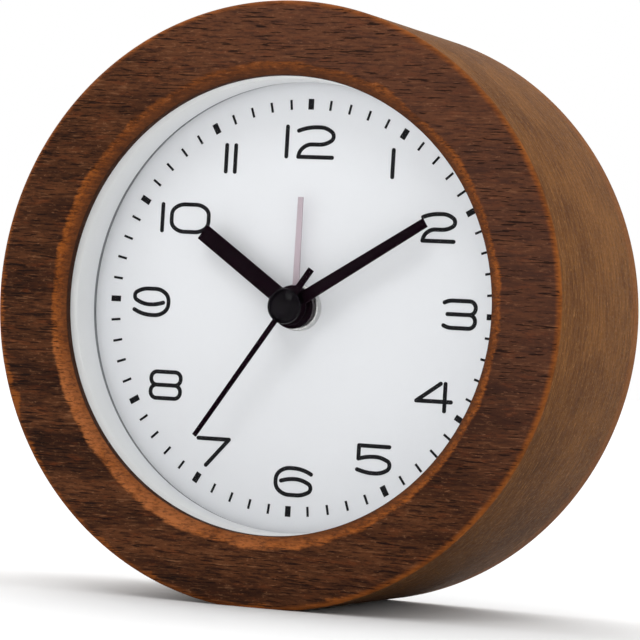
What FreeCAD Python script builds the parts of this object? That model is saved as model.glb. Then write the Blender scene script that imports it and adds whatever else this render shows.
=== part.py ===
"""Round wooden desk alarm clock: a turned case, a white dial and a quartz alarm movement.

Millimetres. The clock stands on z = 0 and faces -Y, with +Z up and +X to the viewer's right.
Every piece is drawn about the dial axis and is lifted onto the base plane when it is written.
"""
import FreeCAD, Part
import math
import os

from FreeCAD import Rotation, Vector

os.makedirs("parts", exist_ok=True)

# Wooden case
CASE_RADIUS = 52.5
CASE_DEPTH = 45.0
FOOT_FLAT = 0.5
EDGE_ROUND = 0.9
FACE_WIDTH = 12.8
LIP_BEVEL_WIDTH = 2.2
LIP_BEVEL_DEPTH = 1.7
LIP_LAND = 1.4
REAR_RECESS = 4.5
REAR_SHOULDER = 4.6
REAR_CHAMFER = 0.5

# Fits
SEAT_GAP = 0.15
RUNNING_FIT = 0.05
PUSH_FIT = 0.02
END_PLAY = 0.1

# Lens, dial and white ring
LENS_THICKNESS = 1.3
RING_STEP = 0.2
RING_SEAT = 2.0
RING_RIM = 2.1
RING_SHADOW_GAP = 0.35
DIAL_DEPTH = 13.4
DIAL_THICKNESS = 0.8
PRINT_THICKNESS = 0.06
TRACK_INSET = 3.74
MINUTE_TICK = (1.75, 0.42)
HOUR_TICK = (1.87, 1.03)
STROKE = 0.72
DIGIT_HEIGHT = 4.7
DIGIT_WIDTH = 5.8
TWELVE_SCALE = 1.12
NUMERAL_TRACK = 35.76

# Hands, measured up from the dial face
ALARM_HAND_LIFT = 2.1
HOUR_HAND_LIFT = 3.1
MINUTE_HAND_LIFT = 4.8
SECOND_HAND_LIFT = 6.3
HAND_THICKNESS = 0.4
HAND_COLLET = 0.3
ALARM_HAND = (19.3, 1.2, 0.95)
HOUR_HAND = (21.9, 3.05, 3.0)
MINUTE_HAND = (29.0, 2.2, 1.7)
SECOND_HAND = (28.3, 0.95, 0.8)
SECOND_TAIL = (8.0, 1.15)
ALARM_HUB = 3.0
HOUR_HUB = 3.8
MINUTE_HUB = 3.25
CAP_RADIUS = 3.1
CAP_SIDE = 0.5
CAP_DOME = 1.2
TUBE_PROUD = 0.25

# Time shown, and the hour the alarm is set to
SHOWN_HOUR = 10
SHOWN_MINUTE = 9
SHOWN_SECOND = 35.7
ALARM_HOUR = 12

# Coaxial arbor and tubes
ARBOR_RADIUS = 0.5
TUBE_WALL = 0.48
BUSH_WALL = 0.85
NUT_WALL = 1.1
NUT_THICKNESS = 1.6
NUT_CHAMFER = 0.25
WASHER_THICKNESS = 0.7
WASHER_WIDTH = 4.0

# Toothed wheels
PRESSURE_ANGLE = math.radians(25)
ADDENDUM = 0.7
DEDENDUM = 1.0
BACKLASH = 0.06
MOTION_MODULE = 0.3
CANNON_TEETH = 15
MINUTE_WHEEL_TEETH = 45
MINUTE_PINION_TEETH = 12
HOUR_TEETH = 48
SET_PINION_TEETH = 15
ALARM_TEETH = 48
IDLER_TEETH = 24
ALARM_PINION_TEETH = 24
THIRD_MODULE = 0.3
SECOND_PINION_TEETH = 8
THIRD_TEETH = 60
THIRD_PINION_TEETH = 8
CENTRE_TEETH = 64
FIFTH_MODULE = 0.35
SECOND_WHEEL_TEETH = 40
FIFTH_PINION_TEETH = 8
ROTOR_MODULE = 0.25
FIFTH_TEETH = 48
ROTOR_PINION_TEETH = 8
WHEEL_THICKNESS = 0.8
PINION_EXTRA = 0.1
LAYER_GAP = 0.4
POST_RADIUS = 0.9
PIVOT_BOSS = 1.4
KNOB_ANGLE = 30
THIRD_ANGLE = 0
FIFTH_ANGLE = 110
ROTOR_ANGLE = 120

# Movement shells
PLATE_THICKNESS = 1.5
SHELL_WALL = 1.0
SHELL_ROUND = 3.0
SHELL_CORNER_ROOM = 2.35
CHAMBER_DEPTH = 14.1
BRIDGE_THICKNESS = 0.8
PILLAR_RADIUS = 1.3
PILLARS = ((-11.0, -8.0), (17.5, -8.0), (4.0, 18.0))
BRIDGE_MARGIN = 1.8
SCREW_POST_RADIUS = 1.6

# Motor, coil and board
MAGNET_RADIUS = 2.6
MAGNET_LENGTH = 2.4
AIR_GAP = 0.4
STATOR_THICKNESS = 0.8
STATOR_MARGIN = 2.0
CORE_LENGTH = 16.0
CORE_WIDTH = 2.6
COIL_LENGTH = 13.0
COIL_RADIUS = 2.4
BOBBIN_WALL = 0.5
BOARD_WIDTH = 14.0
BOARD_THICKNESS = 1.0
BOARD_STEM_ROOM = 2.85
CRYSTAL_RADIUS = 1.0
CRYSTAL_LENGTH = 6.0
CHIP_RADIUS = 2.4
CHIP_HEIGHT = 0.9

# Back cover, battery and door
COVER_THICKNESS = 2.4
CUP_WALL = 1.8
BATTERY_RADIUS = 7.25
BATTERY_LENGTH = 49.2
BATTERY_NUB = (2.75, 1.3)
BATTERY_ROOM = 0.35
BAY_WALL = 1.0
CONTACT_THICKNESS = 0.4
SPRING_ROOM = 4.4
DOOR_THICKNESS = 1.6
DOOR_LEDGE = 1.2
DOOR_GAP = 0.3
GRIP_RIB = 0.4
GRIP_RIBS = 4
HINGE_PIN_RADIUS = 0.55
HINGE_PIN_LENGTH = 0.9
BUZZER_HEIGHT = 4.0
BUZZER_ROOM = 0.5
SOUND_HOLE_RADIUS = 0.9
SOUND_HOLE_RING = 4.0

# Controls on the back
STEM_RADIUS = 1.0
KNOB_RADIUS = 5.5
KNOB_HEIGHT = 3.5
KNOB_FLUTES = 20
FLUTE_RADIUS = 0.5
SWITCH_TRAVEL = 3.0
SWITCH_NECK = (4.0, 2.0)
SWITCH_BUTTON = (6.0, 5.0, 1.8)
SWITCH_KEEPER = (9.5, 5.0, 0.8)
SWITCH_LIFT = 9.0
SWITCH_RIB = 0.4
SWITCH_RIBS = 4

# Screws
COVER_SCREW_RADIUS = 0.8
COVER_SCREW_LENGTH = 8.0
COVER_SCREW_HEAD = (1.9, 1.2)
COVER_SCREW_ANGLE = 30
MOVEMENT_SCREW_RADIUS = 0.7
MOVEMENT_SCREW_LENGTH = 8.0
MOVEMENT_SCREW_HEAD = (1.5, 0.9)
SLOT_WIDTH = 0.45
SLOT_DEPTH = 0.5

# Places along the depth of the clock
AXIS_HEIGHT = CASE_RADIUS - FOOT_FLAT
FRONT_Y = -CASE_DEPTH / 2
BACK_Y = CASE_DEPTH / 2
LIP_REAR_Y = FRONT_Y + LIP_BEVEL_DEPTH + LIP_LAND
LENS_REAR_Y = LIP_REAR_Y + LENS_THICKNESS
DIAL_Y = FRONT_Y + DIAL_DEPTH
DIAL_REAR_Y = DIAL_Y + DIAL_THICKNESS
PLATE_Y = DIAL_REAR_Y + WASHER_THICKNESS
CHAMBER_Y = PLATE_Y + PLATE_THICKNESS
CHAMBER_REAR_Y = CHAMBER_Y + CHAMBER_DEPTH
SHELL_REAR_Y = CHAMBER_REAR_Y + PLATE_THICKNESS
COVER_REAR_Y = BACK_Y - REAR_RECESS
COVER_FRONT_Y = COVER_REAR_Y - COVER_THICKNESS

# Radii of what nests in the case
LIP_RADIUS = CASE_RADIUS - FACE_WIDTH
RING_BORE = LIP_RADIUS - RING_STEP
DIAL_RADIUS = RING_BORE + RING_SEAT
RING_RADIUS = DIAL_RADIUS + SEAT_GAP + RING_RIM
CASE_BORE = RING_RADIUS + SEAT_GAP
REBATE_RADIUS = CASE_BORE + REAR_SHOULDER
FLANGE_RADIUS = REBATE_RADIUS - SEAT_GAP
CUP_BORE = RING_RADIUS - CUP_WALL
COVER_SCREW_RING = CASE_BORE + REAR_SHOULDER / 2
TRACK_RADIUS = RING_BORE - TRACK_INSET
SHELL_HALF_WIDTH = (CUP_BORE - SHELL_CORNER_ROOM) * math.sqrt(0.5)
SHELL_TOP = SHELL_HALF_WIDTH
BUZZER_RADIUS = (CUP_BORE - SHELL_TOP) / 2 - BUZZER_ROOM
BUZZER_LIFT = (CUP_BORE + SHELL_TOP) / 2

# Radii of the coaxial tubes, from the inside out
CANNON_BORE = ARBOR_RADIUS + RUNNING_FIT
CANNON_RADIUS = CANNON_BORE + TUBE_WALL
HOUR_BORE = CANNON_RADIUS + RUNNING_FIT
HOUR_RADIUS = HOUR_BORE + TUBE_WALL
ALARM_BORE = HOUR_RADIUS + RUNNING_FIT
ALARM_RADIUS = ALARM_BORE + TUBE_WALL
BUSH_BORE = ALARM_RADIUS + RUNNING_FIT
BUSH_RADIUS = BUSH_BORE + BUSH_WALL
NUT_RADIUS = BUSH_RADIUS + PUSH_FIT + NUT_WALL

# Front faces of the wheel layers, from the dial side back
ALARM_LAYER = CHAMBER_Y + LAYER_GAP
HOUR_LAYER = ALARM_LAYER + WHEEL_THICKNESS + LAYER_GAP
MINUTE_LAYER = HOUR_LAYER + WHEEL_THICKNESS + LAYER_GAP
CENTRE_LAYER = MINUTE_LAYER + WHEEL_THICKNESS + LAYER_GAP
THIRD_LAYER = CENTRE_LAYER + WHEEL_THICKNESS + LAYER_GAP
BRIDGE_Y = THIRD_LAYER + WHEEL_THICKNESS + LAYER_GAP
SECOND_LAYER = BRIDGE_Y + BRIDGE_THICKNESS + LAYER_GAP
FIFTH_LAYER = SECOND_LAYER + WHEEL_THICKNESS + LAYER_GAP
MAGNET_Y = FIFTH_LAYER + WHEEL_THICKNESS + LAYER_GAP

# Angles of the hands, clockwise from twelve as the viewer sees them
MINUTE_TURN = 6 * (SHOWN_MINUTE + SHOWN_SECOND / 60)
HOUR_TURN = 30 * SHOWN_HOUR + MINUTE_TURN / 12
SECOND_TURN = 6 * SHOWN_SECOND
ALARM_TURN = 30 * (ALARM_HOUR % 12)


def polar(distance, angle):
    """Point (x, z) at a distance from the dial axis, at an angle from +X towards +Z."""
    turn = math.radians(angle)
    return distance * math.cos(turn), distance * math.sin(turn)


def between(point, distance, angle):
    """Point (x, z) at a distance and angle from another point."""
    step = polar(distance, angle)
    return point[0] + step[0], point[1] + step[1]


def reach(module, first_teeth, second_teeth):
    """Distance between the arbors of two meshed wheels."""
    return module * (first_teeth + second_teeth) / 2


# Arbor places in the plane of the dial
CENTRE = (0.0, 0.0)
MOTION_REACH = reach(MOTION_MODULE, CANNON_TEETH, MINUTE_WHEEL_TEETH)
MINUTE_WHEEL_AT = polar(MOTION_REACH, 180 - KNOB_ANGLE)
SET_REACH = reach(MOTION_MODULE, MINUTE_WHEEL_TEETH, SET_PINION_TEETH)
SET_AT = between(MINUTE_WHEEL_AT, SET_REACH, 180 - KNOB_ANGLE)
IDLER_AT = polar(reach(MOTION_MODULE, ALARM_TEETH, IDLER_TEETH), KNOB_ANGLE)
ALARM_SET_AT = between(IDLER_AT, reach(MOTION_MODULE, IDLER_TEETH, ALARM_PINION_TEETH), KNOB_ANGLE)
THIRD_REACH = reach(THIRD_MODULE, SECOND_PINION_TEETH, THIRD_TEETH)
CENTRE_MODULE = 2 * THIRD_REACH / (THIRD_PINION_TEETH + CENTRE_TEETH)
THIRD_AT = polar(THIRD_REACH, THIRD_ANGLE)
FIFTH_AT = polar(reach(FIFTH_MODULE, FIFTH_PINION_TEETH, SECOND_WHEEL_TEETH), FIFTH_ANGLE)
ROTOR_AT = between(FIFTH_AT, reach(ROTOR_MODULE, ROTOR_PINION_TEETH, FIFTH_TEETH), ROTOR_ANGLE)
THIRD_TIP = THIRD_MODULE * (THIRD_TEETH / 2 + ADDENDUM)
SHELL_BOTTOM = THIRD_AT[1] - THIRD_TIP - LAYER_GAP / 2 - SHELL_WALL
SCREW_INSET = SHELL_WALL + SCREW_POST_RADIUS + LAYER_GAP
BAY_TOP = SHELL_BOTTOM - SEAT_GAP
BAY_HALF_HEIGHT = BATTERY_RADIUS + BATTERY_ROOM
BATTERY_Z = BAY_TOP - BAY_WALL - BAY_HALF_HEIGHT
BATTERY_Y = COVER_FRONT_Y - BATTERY_RADIUS
BAY_FRONT_Y = BATTERY_Y - BAY_HALF_HEIGHT - BAY_WALL
BAY_HALF_LENGTH = (BATTERY_LENGTH + BATTERY_NUB[1] + CONTACT_THICKNESS + SPRING_ROOM) / 2


def disc(radius, front, rear, place=CENTRE):
    """Round bar along the depth of the clock."""
    base = Vector(place[0], front, place[1])
    return Part.makeCylinder(radius, rear - front, base, Vector(0, 1, 0))


def tube(radius, bore, front, rear, place=CENTRE):
    """Round bar with a bore right through it."""
    return disc(radius, front, rear, place).cut(disc(bore, front, rear, place))


def block(left, right, front, rear, bottom, top):
    """Box between six planes."""
    corner = Vector(left, front, bottom)
    return Part.makeBox(right - left, rear - front, top - bottom, corner)


def plate(outline, front, rear):
    """Flat piece cut to a closed outline of (x, z) points."""
    points = [Vector(x, front, z) for x, z in outline]
    face = Part.Face(Part.makePolygon(points + points[:1]))
    return face.extrude(Vector(0, rear - front, 0))


def ring_edge(body, y):
    """Round edge of a bar's end face at a depth."""
    closed = [edge for edge in body.Edges if edge.isClosed()]
    return min(closed, key=lambda edge: abs(edge.CenterOfMass.y - y))


def turned(shape, angle, place=CENTRE):
    """Shape turned clockwise, as the viewer sees it, about a line along the depth."""
    result = shape.copy()
    result.rotate(Vector(place[0], 0, place[1]), Vector(0, 1, 0), angle)
    return result


def fuse(shapes):
    """One solid from touching or overlapping ones."""
    return shapes[0].multiFuse(shapes[1:]).removeSplitter()


def cut_all(shape, tools):
    """Shape with several tools taken away."""
    return shape.cut(tools)


def revolve(profile):
    """Solid of revolution about the dial axis from a closed wire in the X-Y plane."""
    return Part.Face(profile).revolve(Vector(0, 0, 0), Vector(0, 1, 0), 360)


def involute(angle):
    """Involute function of a pressure angle."""
    return math.tan(angle) - angle


def gear(teeth, module, front, rear, place=CENTRE, first_tooth=0.0):
    """Spur wheel with involute flanks; first_tooth is one tooth's angle from +X towards +Z."""
    pitch = module * teeth / 2
    base = pitch * math.cos(PRESSURE_ANGLE)
    tip = pitch + ADDENDUM * module
    root = pitch - DEDENDUM * module
    start = max(base, root)
    radii = [start, (start + pitch) / 2, pitch, (pitch + tip) / 2, tip]
    thick = (math.pi * module / 2 - BACKLASH) / (2 * pitch) + involute(PRESSURE_ANGLE)
    halves = [thick - involute(math.acos(min(1.0, base / radius))) for radius in radii]
    flank = list(zip(radii, halves))
    if root < start:
        flank.insert(0, (root, halves[0]))
    outline = []
    for tooth in range(teeth):
        middle = math.radians(first_tooth) + 2 * math.pi * tooth / teeth
        side = [(radius, middle - half) for radius, half in flank]
        side += [(radius, middle + half) for radius, half in reversed(flank)]
        outline += [(place[0] + r * math.cos(a), place[1] + r * math.sin(a)) for r, a in side]
    return plate(outline, front, rear)


def meshing_tooth(driver_tooth, driver_teeth, teeth, direction):
    """First tooth of a wheel that meshes with a driver lying opposite to direction."""
    return direction + 180 + (180 - (driver_tooth - direction) * driver_teeth) / teeth


# First teeth of the wheels, so that every pair meshes as drawn
CANNON_TOOTH = 90 - MINUTE_TURN
MINUTE_WHEEL_TOOTH = meshing_tooth(CANNON_TOOTH, CANNON_TEETH, MINUTE_WHEEL_TEETH, 180 - KNOB_ANGLE)
HOUR_TOOTH = 90 - HOUR_TURN
MINUTE_PINION_TOOTH = meshing_tooth(HOUR_TOOTH, HOUR_TEETH, MINUTE_PINION_TEETH, 180 - KNOB_ANGLE)
SET_TOOTH = meshing_tooth(MINUTE_WHEEL_TOOTH, MINUTE_WHEEL_TEETH, SET_PINION_TEETH, 180 - KNOB_ANGLE)
ALARM_TOOTH = 90 - ALARM_TURN
IDLER_TOOTH = meshing_tooth(ALARM_TOOTH, ALARM_TEETH, IDLER_TEETH, KNOB_ANGLE)
ALARM_PINION_TOOTH = meshing_tooth(IDLER_TOOTH, IDLER_TEETH, ALARM_PINION_TEETH, KNOB_ANGLE)
SECOND_TOOTH = 90 - SECOND_TURN
THIRD_TOOTH = meshing_tooth(SECOND_TOOTH, SECOND_PINION_TEETH, THIRD_TEETH, THIRD_ANGLE)
CENTRE_TOOTH = meshing_tooth(0.0, THIRD_PINION_TEETH, CENTRE_TEETH, THIRD_ANGLE + 180)
FIFTH_PINION_TOOTH = meshing_tooth(SECOND_TOOTH, SECOND_WHEEL_TEETH, FIFTH_PINION_TEETH, FIFTH_ANGLE)
ROTOR_TOOTH = meshing_tooth(0.0, FIFTH_TEETH, ROTOR_PINION_TEETH, ROTOR_ANGLE)


def wood_case():
    """Turned ring with a bevelled lip in front, a rebate behind and a flat to stand on."""
    outer = CASE_RADIUS
    rounded = EDGE_ROUND * (1 - math.sqrt(0.5))
    front_arc = Part.Arc(
        Vector(outer - EDGE_ROUND, FRONT_Y, 0),
        Vector(outer - rounded, FRONT_Y + rounded, 0),
        Vector(outer, FRONT_Y + EDGE_ROUND, 0),
    )
    rear_arc = Part.Arc(
        Vector(outer, BACK_Y - EDGE_ROUND, 0),
        Vector(outer - rounded, BACK_Y - rounded, 0),
        Vector(outer - EDGE_ROUND, BACK_Y, 0),
    )
    inside = [
        Vector(outer - EDGE_ROUND, BACK_Y, 0),
        Vector(REBATE_RADIUS + REAR_CHAMFER, BACK_Y, 0),
        Vector(REBATE_RADIUS, BACK_Y - REAR_CHAMFER, 0),
        Vector(REBATE_RADIUS, COVER_FRONT_Y, 0),
        Vector(CASE_BORE, COVER_FRONT_Y, 0),
        Vector(CASE_BORE, LIP_REAR_Y, 0),
        Vector(LIP_RADIUS, LIP_REAR_Y, 0),
        Vector(LIP_RADIUS, FRONT_Y + LIP_BEVEL_DEPTH, 0),
        Vector(LIP_RADIUS + LIP_BEVEL_WIDTH, FRONT_Y, 0),
        Vector(outer - EDGE_ROUND, FRONT_Y, 0),
    ]
    edges = [front_arc.toShape()]
    edges.append(Part.makeLine(Vector(outer, FRONT_Y + EDGE_ROUND, 0), Vector(outer, BACK_Y - EDGE_ROUND, 0)))
    edges.append(rear_arc.toShape())
    edges += [Part.makeLine(first, second) for first, second in zip(inside, inside[1:])]
    ring = revolve(Part.Wire(edges))
    floor = block(-outer, outer, FRONT_Y, BACK_Y, -outer - FOOT_FLAT, -AXIS_HEIGHT)
    pilot = COVER_SCREW_RADIUS + PUSH_FIT
    depth = COVER_SCREW_LENGTH + END_PLAY
    pilots = [disc(pilot, COVER_REAR_Y - depth, COVER_REAR_Y, place) for place in cover_screw_places()]
    return cut_all(ring, [floor] + pilots)


def cover_screw_places():
    """Centres of the four screws that hold the back cover."""
    turns = (COVER_SCREW_ANGLE, 180 - COVER_SCREW_ANGLE, 180 + COVER_SCREW_ANGLE, -COVER_SCREW_ANGLE)
    return [polar(COVER_SCREW_RING, turn) for turn in turns]


def movement_screw_places():
    """Centres of the four screws that close the movement."""
    side = SHELL_HALF_WIDTH - SCREW_INSET
    heights = (SHELL_BOTTOM + SCREW_INSET, SHELL_TOP - SCREW_INSET)
    return [(x, z) for x in (-side, side) for z in heights]


def lens():
    """Clear flat lens between the wooden lip and the white ring."""
    return disc(DIAL_RADIUS, LIP_REAR_Y, LENS_REAR_Y)


def dial_ring():
    """White ring that spaces the lens from the dial and frames the dial."""
    body = tube(RING_RADIUS, RING_BORE, LIP_REAR_Y, DIAL_REAR_Y)
    seat = DIAL_RADIUS + SEAT_GAP
    lens_seat = disc(seat, LIP_REAR_Y, LENS_REAR_Y)
    dial_seat = disc(seat, DIAL_Y, DIAL_REAR_Y)
    groove = disc(RING_BORE + RING_SHADOW_GAP, DIAL_Y - RING_SHADOW_GAP, DIAL_Y)
    return cut_all(body, [lens_seat, dial_seat, groove])


def dial_plate():
    """White dial with a centre hole for the movement's threaded bush."""
    return tube(DIAL_RADIUS, BUSH_RADIUS + SEAT_GAP, DIAL_Y, DIAL_REAR_Y)


def minute_track():
    """Sixty printed marks, every fifth one broad."""
    marks = []
    for minute in range(60):
        length, width = HOUR_TICK if minute % 5 == 0 else MINUTE_TICK
        low = TRACK_RADIUS - length / 2
        mark = block(-width / 2, width / 2, DIAL_Y - PRINT_THICKNESS, DIAL_Y, low, low + length)
        marks.append(turned(mark, 6 * minute))
    return Part.makeCompound(marks)


def rounded_path(corners):
    """Straight runs and arcs through corners of (x, z, radius); a shut path repeats its first corner."""
    points = [Vector(x, z, 0) for x, z, radius in corners]
    radii = [corner[2] for corner in corners]
    shut = points[0].isEqual(points[-1], 1e-6)
    edges = []
    if shut:
        middle = (points[0] + points[1]) * 0.5
        points = [middle] + points[1:] + [middle]
        radii = radii + [0]
    here = points[0]
    last = len(points) - 1
    for index in range(1, last):
        corner = points[index]
        back = (points[index - 1] - corner).normalize()
        ahead = (points[index + 1] - corner).normalize()
        half = back.getAngle(ahead) / 2
        trim = radii[index] / math.tan(half)
        start = corner + back * trim
        finish = corner + ahead * trim
        middle = corner + (back + ahead).normalize() * (radii[index] / math.sin(half) - radii[index])
        edges.append(("run", here, start))
        edges.append(("arc", start, middle, finish))
        here = finish
    edges.append(("run", here, points[last]))
    return edges


def inked(edges, front, rear):
    """Printed stroke of even width that follows a path, with round ends."""
    half = STROKE / 2
    solids = []
    for edge in edges:
        first, final = edge[1], edge[-1]
        if edge[0] == "arc":
            solids.append(bent_stroke(edge[1:], half, front, rear))
        elif (final - first).Length > PRINT_THICKNESS:
            along = final - first
            side = Vector(-along.y, along.x, 0).normalize() * half
            outline = [first + side, final + side, final - side, first - side]
            solids.append(plate([(point.x, point.y) for point in outline], front, rear))
        for end in (first, final):
            solids.append(disc(half, front, rear, (end.x, end.y)))
    return solids


def bent_stroke(points, half, front, rear):
    """Curved bar of even width about the arc through three points of the X-Y plane."""
    circle = Part.Arc(*points).toShape().Curve
    outer, inner = [], []
    for point in points:
        away = (point - circle.Center).normalize()
        for side, radius in ((outer, circle.Radius + half), (inner, max(circle.Radius - half, PUSH_FIT))):
            place = circle.Center + away * radius
            side.append(Vector(place.x, front, place.y))
    edges = [
        Part.Arc(*outer).toShape(),
        Part.makeLine(outer[2], inner[2]),
        Part.Arc(*reversed(inner)).toShape(),
        Part.makeLine(inner[0], outer[0]),
    ]
    return Part.Face(Part.Wire(edges)).extrude(Vector(0, rear - front, 0))


# Strokes of each digit: corners as (half widths across, half heights up, rounding radius)
HOOK = [(-1.02, 0.74, 0), (-0.5, 1, 8)]
SHORT_HOOK = [(-1.0, 0.84, 0), (-0.72, 1, 3)]
DIGIT_STROKES = {
    0: [[(0.72, 1, 3), (-0.72, 1, 3), (-1.2, 0.52, 1.5), (-1.2, -0.52, 1.5), (-0.72, -1, 3),
         (0.72, -1, 3), (1.2, -0.52, 1.5), (1.2, 0.52, 1.5), (0.72, 1, 3)]],
    1: [[(0, -1, 0), (0, 1, 0)]],
    2: [HOOK + [(0.55, 1, 3), (1.03, 0.62, 0.88), (1.03, 0.2, 0.84), (0.55, -0.15, 3.4),
                (-0.45, -0.15, 2.2), (-0.9, -0.55, 1.8), (-0.98, -1, 0)],
        [(-0.98, -1, 0), (1, -1, 0)]],
    3: [SHORT_HOOK + [(0.98, 1, 1.16), (0.98, 0, 1.12), (-0.78, 0, 0)],
        [(x, -z, radius) for x, z, radius in SHORT_HOOK] + [(0.98, -1, 1.16), (0.98, 0, 1.12), (0.3, 0, 0)]],
    4: [[(0.4, 1, 0), (-1.1, -0.32, 0)], [(-1.1, -0.32, 0), (1.1, -0.32, 0)], [(0.7, 1, 0), (0.7, -1, 0)]],
    5: [[(0.95, 1, 0), (-1, 1, 0)], [(-1, 1, 0), (-1, 0.02, 0)],
        [(-1, 0.02, 0), (-0.4, 0.22, 8.5), (0.4, 0.22, 4.4), (1.02, -0.12, 0.86), (1.02, -0.62, 0.98),
         (0.5, -1, 4), (-0.4, -1, 9), (-1.05, -0.78, 0)]],
    6: [[(1.12, 0.62, 0), (0.55, 1, 7), (-0.6, 1, 3), (-1.18, 0.5, 1.9), (-1.18, -0.5, 1.9), (-0.6, -1, 3),
         (0.55, -1, 4), (1.13, -0.66, 0.84), (1.13, -0.2, 0.86), (0.5, 0.2, 5), (-0.35, 0.2, 8),
         (-0.82, 0.02, 0)]],
    7: [[(-1, 1, 0), (1.05, 1, 0)], [(1.05, 1, 0), (-0.4, -1, 0)]],
    8: [[(-1, low, 1.12), (1, low, 1.12), (1, low + 1, 1.12), (-1, low + 1, 1.12), (-1, low, 1.12)]
        for low in (0, -1)],
}
DIGIT_STROKES[9] = [[(-x, -z, radius) for x, z, radius in DIGIT_STROKES[6][0]]]


# Each numeral: its digits as (digit, x, z, scale)
NUMERALS = (
    ((1, -4.2, 29.1, TWELVE_SCALE), (2, 1.25, 29.1, TWELVE_SCALE)),
    ((1, 16.0, 25.8, 1),),
    ((2, 25.1, 15.0, 1),),
    ((3, 29.9, 0.2, 1),),
    ((4, 26.0, -14.2, 1),),
    ((5, 15.6, -25.7, 1),),
    ((6, 0.75, -30.5, 1),),
    ((7, -15.1, -26.3, 1),),
    ((8, -25.0, -15.0, 1),),
    ((9, -28.8, -0.3, 1),),
    ((1, -27.5, 14.9, 1), (0, -22.1, 14.9, 1.04)),
    ((1, -15.7, 25.8, 1), (1, -13.95, 25.8, 1)),
)
NUMERAL_SPAN = TRACK_RADIUS / NUMERAL_TRACK


def dial_numerals():
    """Printed numerals one to twelve in a round-cornered line face."""
    printed = []
    front = DIAL_Y - PRINT_THICKNESS
    for numeral in NUMERALS:
        for digit, x, z, scale in numeral:
            solids = []
            for stroke in DIGIT_STROKES[digit]:
                corners = []
                for across, up, radius in stroke:
                    left = x * NUMERAL_SPAN + across * scale * DIGIT_WIDTH / 2
                    height = z * NUMERAL_SPAN + up * scale * DIGIT_HEIGHT / 2
                    corners.append((left, height, radius * scale))
                solids += inked(rounded_path(corners), front, DIAL_Y)
            printed.append(fuse(solids))
    return Part.makeCompound(printed)


def hand_y(lift):
    """Rear face of a hand that is lifted off the dial."""
    return DIAL_Y - lift


def blade(size, lift, turn, tail=None):
    """Flat hand that tapers to a square tip, drawn at its turn."""
    length, root, tip = size
    rear = hand_y(lift)
    outline = [(-root / 2, 0), (root / 2, 0), (tip / 2, length), (-tip / 2, length)]
    shape = plate(outline, rear - HAND_THICKNESS, rear)
    if tail:
        short, width = tail
        shape = shape.fuse(block(-width / 2, width / 2, rear - HAND_THICKNESS, rear, -short, 0))
    return turned(shape, turn)


def hub(radius, collet, bore, lift):
    """Hub disc with a short collet behind it, on its tube."""
    rear = hand_y(lift)
    disc_part = disc(radius, rear - HAND_THICKNESS, rear)
    collet_part = disc(collet, rear, rear + HAND_COLLET)
    return disc_part.fuse(collet_part), disc(bore, rear - 2 * HAND_THICKNESS, rear + 2 * HAND_COLLET)


def hand(size, radius, tube_radius, lift, turn):
    """Hand with its hub, bored to push onto its tube."""
    body, bore = hub(radius, tube_radius + TUBE_WALL, tube_radius + PUSH_FIT, lift)
    return fuse([blade(size, lift, turn), body]).cut(bore)


def hour_hand():
    """Broad baton hour hand."""
    return hand(HOUR_HAND, HOUR_HUB, HOUR_RADIUS, HOUR_HAND_LIFT, HOUR_TURN)


def minute_hand():
    """Slim baton minute hand."""
    return hand(MINUTE_HAND, MINUTE_HUB, CANNON_RADIUS, MINUTE_HAND_LIFT, MINUTE_TURN)


def alarm_hand():
    """Short pale alarm hand."""
    return hand(ALARM_HAND, ALARM_HUB, ALARM_RADIUS, ALARM_HAND_LIFT, ALARM_TURN)


def second_hand():
    """Thin sweep hand with a short tail."""
    collet = ARBOR_RADIUS + TUBE_WALL
    body, bore = hub(CAP_RADIUS - TUBE_WALL, collet, ARBOR_RADIUS + PUSH_FIT, SECOND_HAND_LIFT)
    return fuse([blade(SECOND_HAND, SECOND_HAND_LIFT, SECOND_TURN, SECOND_TAIL), body]).cut(bore)


def second_hand_cap():
    """Domed cap that covers the centre."""
    rear = hand_y(SECOND_HAND_LIFT) - HAND_THICKNESS
    front = rear - CAP_SIDE
    sphere = (CAP_RADIUS**2 + CAP_DOME**2) / (2 * CAP_DOME)
    ball = Part.makeSphere(sphere, Vector(0, front - CAP_DOME + sphere, 0))
    dome = disc(CAP_RADIUS, front - CAP_DOME, rear).common(ball)
    bore = disc(ARBOR_RADIUS + PUSH_FIT, arbor_front() - END_PLAY, rear)
    return dome.cut(bore)


def arbor_front():
    """Front end of the seconds arbor, inside the cap."""
    return hand_y(SECOND_HAND_LIFT) - HAND_THICKNESS - CAP_SIDE - CAP_DOME / 3


def tube_front(lift):
    """Front end of a tube that carries a hand."""
    return hand_y(lift) - HAND_THICKNESS - TUBE_PROUD


def seconds_wheel():
    """Seconds arbor with its pinion and wheel."""
    wheel = gear(SECOND_WHEEL_TEETH, FIFTH_MODULE, SECOND_LAYER, SECOND_LAYER + WHEEL_THICKNESS,
                 CENTRE, SECOND_TOOTH)
    pinion = gear(SECOND_PINION_TEETH, THIRD_MODULE, THIRD_LAYER - PINION_EXTRA,
                  THIRD_LAYER + WHEEL_THICKNESS + PINION_EXTRA, CENTRE, SECOND_TOOTH)
    arbor = disc(ARBOR_RADIUS, arbor_front(), CHAMBER_REAR_Y - END_PLAY)
    return fuse([arbor, pinion, wheel])


def minute_cannon():
    """Minute tube with the cannon pinion; the centre wheel grips its rear end."""
    shaft = disc(CANNON_RADIUS, tube_front(MINUTE_HAND_LIFT), CENTRE_LAYER + WHEEL_THICKNESS + END_PLAY)
    pinion = gear(CANNON_TEETH, MOTION_MODULE, MINUTE_LAYER - PINION_EXTRA,
                  MINUTE_LAYER + WHEEL_THICKNESS + PINION_EXTRA, CENTRE, CANNON_TOOTH)
    bore = disc(CANNON_BORE, tube_front(MINUTE_HAND_LIFT), THIRD_LAYER)
    return fuse([shaft, pinion]).cut(bore)


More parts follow.
